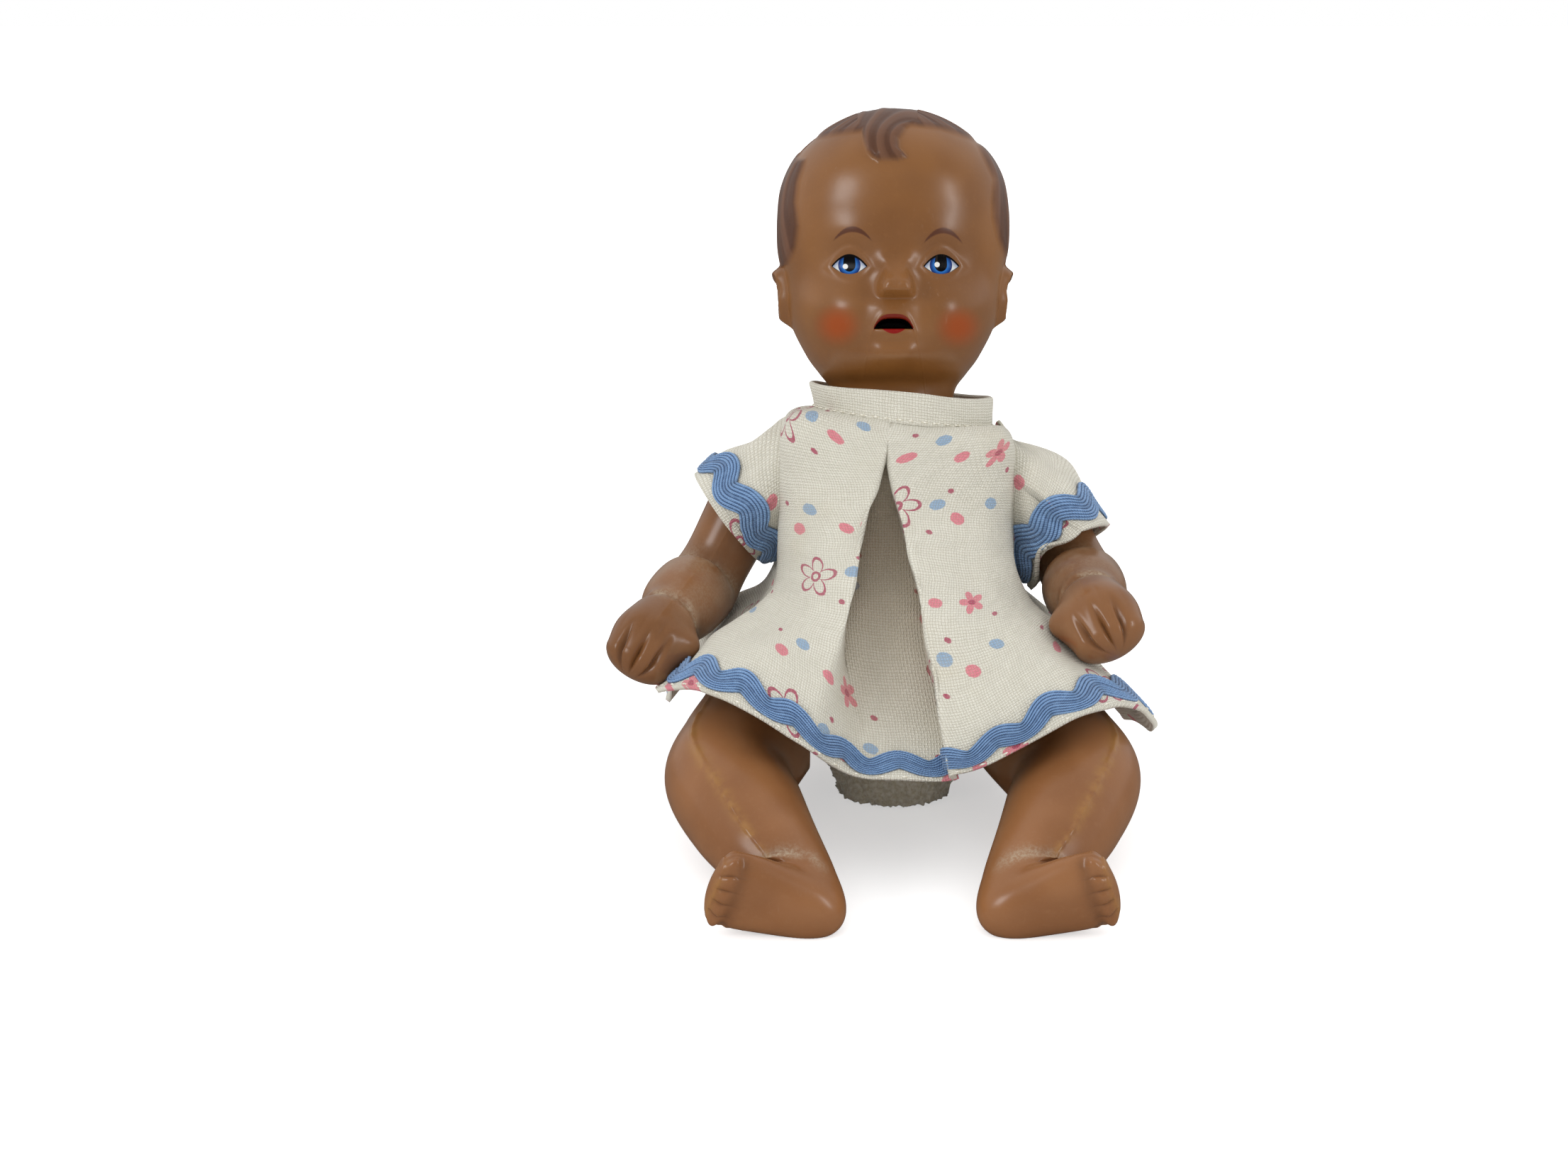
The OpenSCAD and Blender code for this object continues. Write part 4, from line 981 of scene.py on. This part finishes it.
def drape(u, a):
    p = along(drape_rings(a), u)
    k = u * u * (1.1 * cosd(a * 7 + 20) + 0.5 * cosd(a * 13)) * ease(10, 30, np.abs(a))
    p = p + vec(sind(a), -cosd(a), 0.25) * (0.8 * k)[..., None]
    p[..., 2] -= DRESS_SKEW * p[..., 0]
    return p


# Way into the pleat, and its left and right folds across at equal steps from the neckline to the hem
PLEAT_IN = np.array([0, 0.8, -0.6])
PLEAT_FOLDS = [[-0.9, -0.7], [-1.7, -1.45], [-5.0, 0.5], [-8.0, 2.8], [-9.8, 4.4], [-11.0, 6.0]]


def pleat_depth(u):
    return np.maximum(0.4 * ease(0.01, 0.04, u), 5.0 * ease(0.16, 0.42, u) * (1 - 0.5 * ease(0.7, 1.0, u)))


def front_panel(rows, flap, wall, inner):
    """Grid of the front panel, from flap to fold, inner panel, fold and flap, and its share of painted shade
    inside the pleat.
    """
    turns = np.linspace(-90, 90, 1441)
    folds = along(PLEAT_FOLDS, rows)
    s, w = np.linspace(0, 1, flap + 1), np.linspace(0, 1, wall + 1)
    drop = np.concatenate([np.zeros(flap), ease(0, 1, w)[:-1], np.ones(inner + 1), ease(1, 0, w)[1:],
                           np.zeros(flap)])
    out, deep = [], []
    for u, (xl, xr) in zip(rows, folds):
        line = drape(np.full(len(turns), u), turns)
        soft = ease(0.58, 0.86, u)
        tuck = 0.1 + 0.9 * ease(0.18, 0.4, u)
        depth = pleat_depth(u)
        la, lb = xl - 3.0 * soft, xl - tuck * (1 - soft) + 3.5 * soft
        ra, rb = xr, xr + tuck

        def at(x):
            return np.interp(x, line[:, 0], turns)

        left = -90 + (at(la) + 90) * (1.4 * s - 0.4 * s * s)
        right = at(ra) + (90 - at(ra)) * (0.6 * s + 0.4 * s * s)
        angles = np.concatenate([left[:-1], at(la + (lb - la) * w)[:-1], at(np.linspace(lb, rb, inner + 1)),
                                 at(rb + (ra - rb) * w)[1:], right[1:]])
        p = between(angles, turns, line)
        # The flaps swell towards their folds
        away = np.maximum(np.maximum(la - p[:, 0], p[:, 0] - ra), 0)
        swell = (1 - drop) * (0.8 * bell(away, 4.5) + 0.25 * bell(away, 1.0)) * depth / 4.5
        out.append(p + PLEAT_IN * (drop * depth - swell)[:, None])
        # Painted shade inside the pleat, strongest near its top
        deep.append(drop * ease(0.14, 0.24, u) * ease(1.0, 0.45, u))
    return np.array(out), np.array(deep)


def wrinkle(p, u):
    """Small slack waves of the cotton, along its normals."""
    soft = waves(p * np.array([1, 1, 0.4]), 5, 15.0) * 0.3 + waves(p, 8, 6.5) * 0.09
    return p + grid_normals(p) * (soft * ease(0.0, 0.15, u))[..., None]


def smoothed(p, reach_columns, closed):
    """A grid eased along its rows, over so many columns each way."""
    total = 0
    for k in range(-reach_columns, reach_columns + 1):
        last = p.shape[1] - 1
        at = np.arange(last + 1) + k
        at = at % last if closed else np.clip(at, 0, last)
        total = total + p[:, at]
    return total / (2 * reach_columns + 1)


def clear_of(p, trees, gap, closed=False):
    """Moves a cloth grid off the limbs it lies on, by at least a gap in millimetres, and eases the move."""
    for _ in range(4):
        push = np.zeros_like(p)
        for i, j in np.ndindex(p.shape[:2]):
            for tree in trees:
                at, normal, _, _ = tree.find_nearest(p[i, j].tolist(), 4.0)
                if at is not None:
                    short = gap - float((Vector(p[i, j]) - at).dot(normal))
                    if short > 0:
                        push[i, j] += np.array(normal) * short
        if not push.any():
            break
        soft = push
        for _ in range(3):
            soft = smoothed(soft, 4, closed)
            soft = smoothed(soft.swapaxes(0, 1), 4, False).swapaxes(0, 1)
        p = p + soft * 1.6
    return p


def cloth_field(p):
    """Flat places of a cloth grid: along its rows from the middle column, and along its columns."""
    s = np.cumsum(np.pad(steps(p, 1), ((0, 0), (1, 0))), 1)
    t = np.cumsum(np.pad(steps(p, 0), ((1, 0), (0, 0))), 0).mean(1)
    return vec(s - s[:, p.shape[1] // 2][:, None], t[:, None], 0)


def thicken(obj, thick, share=None, offset=0):
    """Gives a cloth its thickness in millimetres, or at each point a share of it."""
    solid = obj.modifiers.new("thick", "SOLIDIFY")
    solid.thickness = thick * 0.001
    solid.offset = offset
    solid.use_even_offset = False
    if share is not None:
        group = obj.vertex_groups.new(name="thick")
        for i, weight in enumerate(share):
            group.add([i], float(weight), "REPLACE")
        solid.vertex_group = "thick"
    apply_modifiers(obj)
    obj.vertex_groups.clear()


def armhole_cut(points, faces):
    """Drops faces inside the armholes and draws their edge out to the round."""
    p = points.reshape(-1, 3).copy()
    dy, dz = p[:, 1] - SHOULDER[1], p[:, 2] - SHOULDER[2]
    d = np.hypot(dy, dz)
    inside = (d < ARMHOLE_R) & (np.abs(p[:, 0]) > 15)
    keep = ~inside[faces].all(1)
    k = np.where(inside, ARMHOLE_R / np.maximum(d, 1e-6), 1)
    near = inside & (d > ARMHOLE_R - 1.5)
    p[near, 1] = SHOULDER[1] + (dy * k)[near]
    p[near, 2] = SHOULDER[2] + (dz * k)[near]
    return p, faces[keep]


def compact(points, faces, fields):
    """Leaves out the points that no face uses."""
    used = np.unique(faces)
    index = np.full(len(points), -1)
    index[used] = np.arange(len(used))
    fields = {key: value.reshape(len(points), -1)[used] for key, value in fields.items()}
    return points[used], index[faces], fields


PANELS = {}


def make_dress():
    rows = np.linspace(0, 1, 171)
    front, deep = front_panel(rows, 80, 10, 60)
    # Each panel's grid, its share of painted shade inside the pleat, and where its middle lies along the print
    panels = [("dress_front", front, deep, 0)]
    # The back opening laps left over right
    for name, a0, a1, along_print in (("dress_back_right", -179.7, -90, -43),
                                      ("dress_back_left", 90, 183.2, 43)):
        u, a = np.meshgrid(rows, np.linspace(a0, a1, 71), indexing="ij")
        lap = vec(sind(a), -cosd(a), 0) * (0.9 * ease(173, 180, a))[..., None]
        panels.append((name, drape(u, a) + lap, 0 * u, along_print))
    for name, p, deep, along_print in panels:
        u = np.repeat(rows[:, None], p.shape[1], 1)
        p = PANELS[name] = clear_of(wrinkle(p, u), LIMB_TREES.values(), 0.5)
        fields = {"cloth": cloth_field(p) + np.array([along_print, 0, 0]), "deep": deep,
                  "turned": 0.45 + 0.55 * ease(0.905, 0.925, u)}
        points, faces, fields = compact(*armhole_cut(p, quads(p.shape)), fields)
        turned = fields.pop("turned").ravel()
        obj = piece(name + "_cloth", points, [faces], "torso", print_cotton, [name], fields)
        thicken(obj, DRESS_T, turned)


make_dress()


# Sleeves turn with the arms; their tops run on from the shoulder seams
def sleeve_grid(u, f, swing, drop):
    s, c = sind(f), cosd(f)
    up = s > 0
    high_side = np.maximum(s, 0) ** 2
    wide = 9.7 + (1.5 - 0.45 * drop) * high_side
    start = vec(ARM_FLAT - 1.9 - (1.5 - 0.3 * drop) * high_side, wide * c, wide * s)
    length = 8.9 + 1.8 * drop
    middle = vec(ARM_X + length * sind(ARM_SPLAY) + 0.3, -0.6 - 1.1 * drop, -length * cosd(ARM_SPLAY) + 2.3)
    rise = np.where(up, 7.1 - 2 * drop, 5.95 + 0.5 * drop)
    cuff = middle + vec(np.where(up, 5.2, 4.75 + 0.6 * drop) * s, (8.3 + 0.55 * drop) * c, rise * s)
    puff = np.where(up, 0.9 + 0.5 * drop, 0.3) + 0.7 * drop * bell(f - 48, 34)
    puff = puff * ease(0.02, 0.4, u) * ease(1.05, 0.5, u)
    out = unit(vec(0.55 * np.maximum(s, 0), c, s))
    p = start * (1 - u)[..., None] + cuff * u[..., None] + out * puff[..., None]
    return rx(p, -swing) + SHOULDER


SLEEVES = {}
# Where the print starts on a sleeve
SLEEVE_PRINT = np.array([6.0, 31.0, 0])


def make_sleeves():
    u, f = np.meshgrid(np.linspace(0, 1, 65), np.linspace(0, 360, 161), indexing="ij")
    for name, side, _, swing, drop in ARMS:
        p = sleeve_grid(u, f, swing, drop)
        fold = 0.3 * np.sin(np.radians(f * 5) + 2.2 * u + 0.6) * ease(1.0, 0.4, u) + 0.22 * waves(p, 21, 9.0)
        p = p + grid_normals(p) * (fold * ease(0.1, 0.3, u) * ease(1.02, 0.8, u))[..., None]
        p[:, -1] = p[:, 0]
        arm = [LIMB_TREES[name + half] for half in ("_arm_outer", "_arm_inner")]
        p = clear_of(p * np.array([side, 1, 1]), arm, 0.6 + 0.08 * drop, True)
        p[:, -1] = p[:, 0]
        SLEEVES[name] = p
        flat = cloth_field(p) + SLEEVE_PRINT
        obj = piece(name + "_sleeve_cloth", p, [quads(p.shape, flip=side > 0)], name + "_arm", print_cotton,
                    [name + "_sleeve"], {"cloth": flat})
        name + "_arm_outer_skin"
        thicken(obj, SLEEVE_T, (0.45 + 0.55 * ease(0.84, 0.88, u)).ravel())


make_sleeves()


# Sewing: runs of short stitches along a row of a cloth grid
def make_stitches(name, line, normals, body, every, long):
    """Raised stitches, each a small round bar, every so many millimetres along a line."""
    arc = run(line)
    share = np.linspace(-0.5, 0.5, 7)
    s = np.arange(every / 2, arc[-1] - long / 2, every)[:, None] + share * long
    centre, up = between(s, arc, line), unit(between(s, arc, normals))
    side = unit(np.cross(up, unit(np.gradient(centre, axis=1))))
    turn = np.linspace(0, 2 * np.pi, 9)[:-1, None]
    around = side[:, :, None] * np.cos(turn) + up[:, :, None] * np.sin(turn)
    radius = 0.14 * np.sqrt(1 - (share * 1.96) ** 2)
    rise = 0.1 * np.cos(np.pi * share)
    p = (centre + up * rise[:, None])[:, :, None] + around * radius[:, None, None]
    count, rows, columns, _ = p.shape
    starts = rows * columns * np.arange(count)[:, None, None]
    rim = np.arange(columns)
    ends = np.stack([rim, rim[::-1] + (rows - 1) * columns]) + starts
    faces = quads((rows, columns), True, True) + starts
    flat = np.broadcast_to(vec(s, 0, 0)[:, :, None], p.shape)
    piece(name, p, [faces.reshape(-1, 4), ends.reshape(-1, columns)], body, sewing, (),
          {"cloth": flat})


# Stand neckband: a folded band with a round top edge, topstitched at its foot
def make_collar():
    a = np.linspace(-178.5, 184.5, 367)
    half = 0.48
    climb = np.linspace(-0.35, NECK_H - half, 26)
    bend = np.radians(np.linspace(0, 180, 11))[1:-1]
    out = np.concatenate([np.full(26, half), half * np.cos(bend), np.full(26, -half)])
    up = np.concatenate([climb, NECK_H - half + half * np.sin(bend), climb[::-1]])
    out, a = np.meshgrid(out, a, indexing="ij")
    up = np.repeat(up[:, None], a.shape[1], 1)
    # Lower and wider on the right, where the chin passes
    chin = bell(a + 90, 55)
    up = up * (1 - 0.17 * chin * ease(0, NECK_H, up))
    slack = 0.16 * np.sin(np.radians(a * 5) + 0.7) + 0.1 * np.sin(np.radians(a * 11))
    lip = 0.14 * np.sin(np.radians(a * 4) + 2.0) * up / NECK_H
    r = COLLAR_R + out + 0.25 + (slack + 0.9 * chin) * ease(0, NECK_H, up) + 1.05 * ease(166, 180, a)
    p = tw(vec(NECK_SHIFT + r * sind(a), -r * cosd(a), COLLAR_Z + neck_rise(a) + up + lip))
    p[..., 2] -= NECK_TILT * COLLAR_R * sind(a)
    idx = np.arange(a.size).reshape(a.shape)
    foot = np.stack([idx[-1, :-1], idx[-1, 1:], idx[0, 1:], idx[0, :-1]], -1)
    obj = piece("collar_band", p, [quads(p.shape), foot, idx[None, ::-1, 0], idx[None, :, -1]], "torso",
                band_cotton, ["collar"], {"cloth": vec(np.radians(a) * COLLAR_R, up, 0)})
    # Cut twice its height, with a millimetre turned in along each edge; both layers are modelled as one
    # sheet, so half of the cut's area is declared
    make_stitches("collar_topstitch", p[3], unit(p[3] - p[-4]), "torso", 1.9, 1.35)


make_collar()

# Rickrack: a ribbed braid that waves along the cloth, in from its edge and a little off it
RIBS, TRIM_INSET, TRIM_LIFT = 9, 4.3, 0.35


def surface_at(p, n, i, j):
    """Points and normals of a grid at fractional rows and columns."""
    i = np.clip(i, 0, p.shape[0] - 1.001)
    j = np.clip(j, 0, p.shape[1] - 1.001)
    a, b = i.astype(int), j.astype(int)
    fi, fj = (i - a)[..., None], (j - b)[..., None]

    def blend(g):
        return ((g[a, b] * (1 - fj) + g[a, b + 1] * fj) * (1 - fi)
                + (g[a + 1, b] * (1 - fj) + g[a + 1, b + 1] * fj) * fi)
    return blend(p), unit(blend(n))


def make_braid(name, grid, body, node, closed, outward):
    """A waved braid round a cloth grid, along the grid's last row."""
    grid = smoothed(grid, 3, closed)
    normals = smoothed(grid_normals(grid) * outward, 3, closed)
    last = grid.shape[0] - 1
    rise = steps(grid[last // 2:]).mean(0)
    row = last - np.minimum(TRIM_INSET / rise, last / 2)
    columns = np.arange(grid.shape[1]).astype(float)
    arc = run(surface_at(grid, normals, row, columns)[0])
    length = arc[-1]
    s = np.linspace(0, length, int(length / 0.2) + 1)
    centre = (TRIM_W - RIBBON_W) / 2 * np.cos(2 * np.pi * s / length * round(length / TRIM_WAVE))
    slope = np.gradient(centre, s)
    norm = np.sqrt(1 + slope**2)
    # The braid's section: ribs on top, with a cleft in the middle, and flat below
    across = np.linspace(-1, 1, RIBS * 8 + 1)
    below = np.linspace(1, -1, 7)[1:-1]
    rib = np.abs(np.sin((across + 1) / 2 * np.pi * RIBS))
    top = 0.4 + 0.24 * rib - 0.24 * np.abs(across) ** 8 - 0.14 * bell(across, 0.05)
    height = np.concatenate([top, np.full(5, 0.04)])
    # The ribs keep the wave, and lean a little towards its own normal
    off = np.concatenate([across, below])[None] * RIBBON_W / 2
    ss = s[:, None] - 0.7 * off * (slope / norm)[:, None]
    tt = centre[:, None] + off * (0.45 + 0.55 / norm[:, None])
    ss = ss % length if closed else np.clip(ss, 0, length)
    here, step = np.interp(ss, arc, row), np.interp(ss, arc, rise)
    room = np.clip(step * np.minimum(here, last - here) / (TRIM_W / 2 + 0.1), 0, 1)
    p, n = surface_at(grid, normals, here + tt * room / step, np.interp(ss, arc, columns))
    yarn = (s * norm.mean())[:, None]
    twist = np.sin(2 * np.pi * yarn / 0.62 + np.pi * np.floor((across + 1) / 2 * RIBS))
    height = height + np.pad(0.05 * twist * rib, ((0, 0), (0, 5)))
    p = p + n * (TRIM_LIFT + height)[..., None]
    flat = vec(yarn, off, 0)
    # Share for the braid's painted light and shade: high on the rib tops, low between them, halved along the
    # middle
    ribs = np.pad(rib * (1 - 0.5 * bell(across, 0.07)), (0, 5))
    if closed:
        p, flat = p[:-1], flat[:-1]
    rows, columns, _ = p.shape
    faces = [quads(p.shape, True)]
    first, end = np.arange(columns), np.arange(columns) + (rows - 1) * columns
    if closed:
        faces += [np.stack([end, np.roll(end, -1), np.roll(first, -1), first], -1)]
    else:
        faces += [first[None, ::-1], end[None]]
    if outward < 0:
        faces = [f[:, ::-1] for f in faces]
    fields = {"cloth": flat, "rib": np.repeat(ribs[None], rows, 0)}
    piece(name, p, faces, body, braid, [node], fields)


def make_braids():
    hem = np.concatenate([PANELS["dress_back_right"][:, 3:-1], PANELS["dress_front"],
                          PANELS["dress_back_left"][:, 1:-1]], 1)
    make_braid("hem_braid", hem, "torso", "hem_rickrack", False, 1)
    normals = grid_normals(hem)[-3]
    make_stitches("hem_stitches", hem[-3] + normals * 0.4, normals, "torso", 3.4, 1.1)
    for name, side, *_ in ARMS:
        sleeve = name + "_sleeve"
        make_braid(sleeve + "_braid", SLEEVES[name], name + "_arm", sleeve + "_rickrack", True, -side)


make_braids()

# Terry nappy: the torso's own rows, let out, with the leg holes cut and a pile of loops
SEAT_ROWS = [[-12.6, 0, 0, 0], [-11.8, 6.6, 7, 7], [-9, 10.4, 10.6, 11.6], [-4, 12.8, 12.6, 14.2],
             [3, 13.4, 13.2, 14.6], [12, 15.4, 14.2, 13.2]]


def make_nappy():
    u, a = np.meshgrid(np.linspace(0.02, 0.884, 110), np.linspace(-180, 180, 281)[:-1], indexing="ij")
    r = along(SEAT_ROWS, u)
    off = 1.25
    x, y = ring(a, r[..., 1] + off, r[..., 2] + off, r[..., 3] + off, 2.3)
    local = vec(x, y, np.where(r[..., 0] < -9, r[..., 0] - off, r[..., 0]))
    p = tw(local)
    p[..., 2] -= 6 * ease(2, -9, p[..., 1]) * ease(13, 5, p[..., 2])
    p[..., 2] = np.maximum(p[..., 2], 0.5)
    p[..., 0] *= 1 - 0.2 * ease(7, 0, p[..., 2])
    loops = 0.22 * waves(p, 31, 1.0, 10) + 0.08 * waves(p, 32, 0.6, 10)
    p = p + unit(p - tw(local * np.array([0.2, 0.2, 1]))) * loops[..., None]
    p[..., 2] = np.maximum(p[..., 2], 0.05)
    beyond = np.abs(local[..., 0]) > 10.6
    hole = beyond & ((np.hypot(local[..., 1], local[..., 2]) < 11.9) | (local[..., 2] < 0))
    faces = quads(p.shape, True)
    points, faces, _ = compact(p.reshape(-1, 3), faces[~hole.ravel()[faces].any(1)], {})
    obj = piece("nappy_terry", points, [faces], "torso", terry, ["nappy"])
    thicken(obj, TERRY_T, offset=-1)


make_nappy()


# Elastic cords: covered loops from stud to stud, inside the body
CORD_R, LOOP_R, STRAND_GAP = 0.9, 2.65, 3.85


def make_elastics():
    turn = np.linspace(0, 360, 13)[:-1]

    def cord(centre, side, up):
        around = side[:, None] * cosd(turn)[None, :, None] + up[:, None] * sind(turn)[None, :, None]
        return centre[:, None] + CORD_R * around

    def strand(start, end, side, up):
        s = np.linspace(0, 1, 9)[:, None]
        return cord(start + (end - start) * s, np.repeat(side[None], 9, 0), np.repeat(up[None], 9, 0))

    def pair(start, end, side, up):
        return [strand(start + k * STRAND_GAP * up, end + k * STRAND_GAP * up, side, up) for k in (-1, 1)]

    def ring_about(middle, axis, first, second):
        t = np.linspace(0, 360, 41)
        out = first * cosd(t)[:, None] + second * sind(t)[:, None]
        return cord(middle + LOOP_R * out, out, np.repeat(axis[None], 41, 0))

    x, y, z = np.eye(3)
    rods = {}
    for name, height, flat in (("arm_elastic", SHOULDER_Z, 17.5), ("leg_elastic", 0.0, 12.1)):
        at = np.array([flat - 2.6, 0, 0])
        mid = np.array([0, 0, height])
        rods[name] = [ring_about(mid + k * at, x, y, z) for k in (-1, 1)]
        rods[name] += pair(mid - at, mid + at, y, z)
    top, foot = np.array([0, 0, 41.9]), np.array([0, 0, -2.1])
    rods["head_elastic"] = [ring_about(top, z, x, y)] + pair(foot, top, x, y)
    for name, parts in rods.items():
        starts = np.cumsum([0] + [p.shape[0] * p.shape[1] for p in parts])
        faces = [quads(p.shape, True, start=k) for p, k in zip(parts, starts)]
        points = np.concatenate([p.reshape(-1, 3) for p in parts])
        piece(name + "_cord", tw(points), faces, "torso", elastic, [name])


make_elastics()

# Pieces that stay as the frame has them
for node in ("torso_front", "torso_back", "neck_plug", "right_shoulder_button", "left_shoulder_button",
             "right_hip_button", "left_hip_button"):
    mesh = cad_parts[node].data
    mesh.materials.clear()
    mesh.materials.append(celluloid if node.startswith("torso") else turned)


# Stage
def make_stage():
    scene = bpy.context.scene
    scene.view_settings.view_transform = "Standard"
    floor = bpy.data.meshes.new("floor")
    floor.from_pydata([(-3, -3, 0), (3, -3, 0), (3, 3, 0), (-3, 3, 0)], [], [(0, 1, 2, 3)])
    add("floor", floor)

    def floor_paint():
        white = mix(noise(place(), 3.0, 1.0), srgb(236, 236, 236), srgb(242, 242, 242))
        # Painted dim reflection: the near-white floor turns dark for mirror rays, so glossy surfaces mirror it
        # dim
        return mix(ray("Glossy") * 0.85, white, srgb(70, 62, 54)), 0.9, None

    paint = material("floor", floor_paint, Emission_Color=(1, 1, 1, 1))
    shader = next(n for n in paint.node_tree.nodes if n.type == "BSDF_PRINCIPLED")
    put(shader.inputs["Emission Strength"], ray("Camera") * 0.5)
    floor.materials.append(paint)
    # Room: light from above, and white for the camera; mirror rays see it dim, and dimmest in front
    world = scene.world = bpy.data.worlds.new("studio")
    world.use_nodes = True
    Val.tree = world.node_tree
    _, y, z = split(Val(node_of("TexCoord").outputs["Generated"]))
    level = ramp(z, -0.3, 0.9, 0.45, 1.15)
    mirrored = high(ray("Glossy"), ray("Transmission"))
    level = level + mirrored * (ramp(y, -0.4, 0.5, 0.08, 0.6) - level)
    shade = world.node_tree.nodes["Background"]
    shade.inputs[0].default_value = (1, 1, 1, 1)
    put(shade.inputs[1], high(level, ray("Camera")))

    def lamp(name, at, aim, wide, tall, power):
        data = bpy.data.lights.new(name, "AREA")
        data.shape, data.size, data.size_y, data.energy = "RECTANGLE", wide, tall, power
        z = unit(np.array(at) - np.array(aim))
        x = unit(np.cross([0, 0, 1.0], z))
        rows = np.stack([x, np.cross(z, x), z, at], -1)
        add(name, data).matrix_world = Matrix([*rows.tolist(), [0, 0, 0, 1]])

    lamp("window_left", (-0.58, -0.38, 0.36), (0, 0, 0.06), 0.26, 0.24, 1.3)
    lamp("window_right", (0.6, -0.34, 0.26), (0, 0, 0.06), 0.08, 0.3, 0.75)
    camera = bpy.data.cameras.new("camera")
    camera.sensor_fit, camera.sensor_width = "HORIZONTAL", SENSOR_W
    camera.lens = round(FOCAL * SENSOR_W / PICTURE_W, 2)
    camera.clip_start = 0.01
    eye = scene.camera = add("camera", camera)
    eye.location = (CAMERA_AT * 0.001).tolist()
    eye.rotation_euler = (math.radians(90 - CAMERA_DOWN), 0, 0)


make_stage()

bpy.context.view_layer.update()
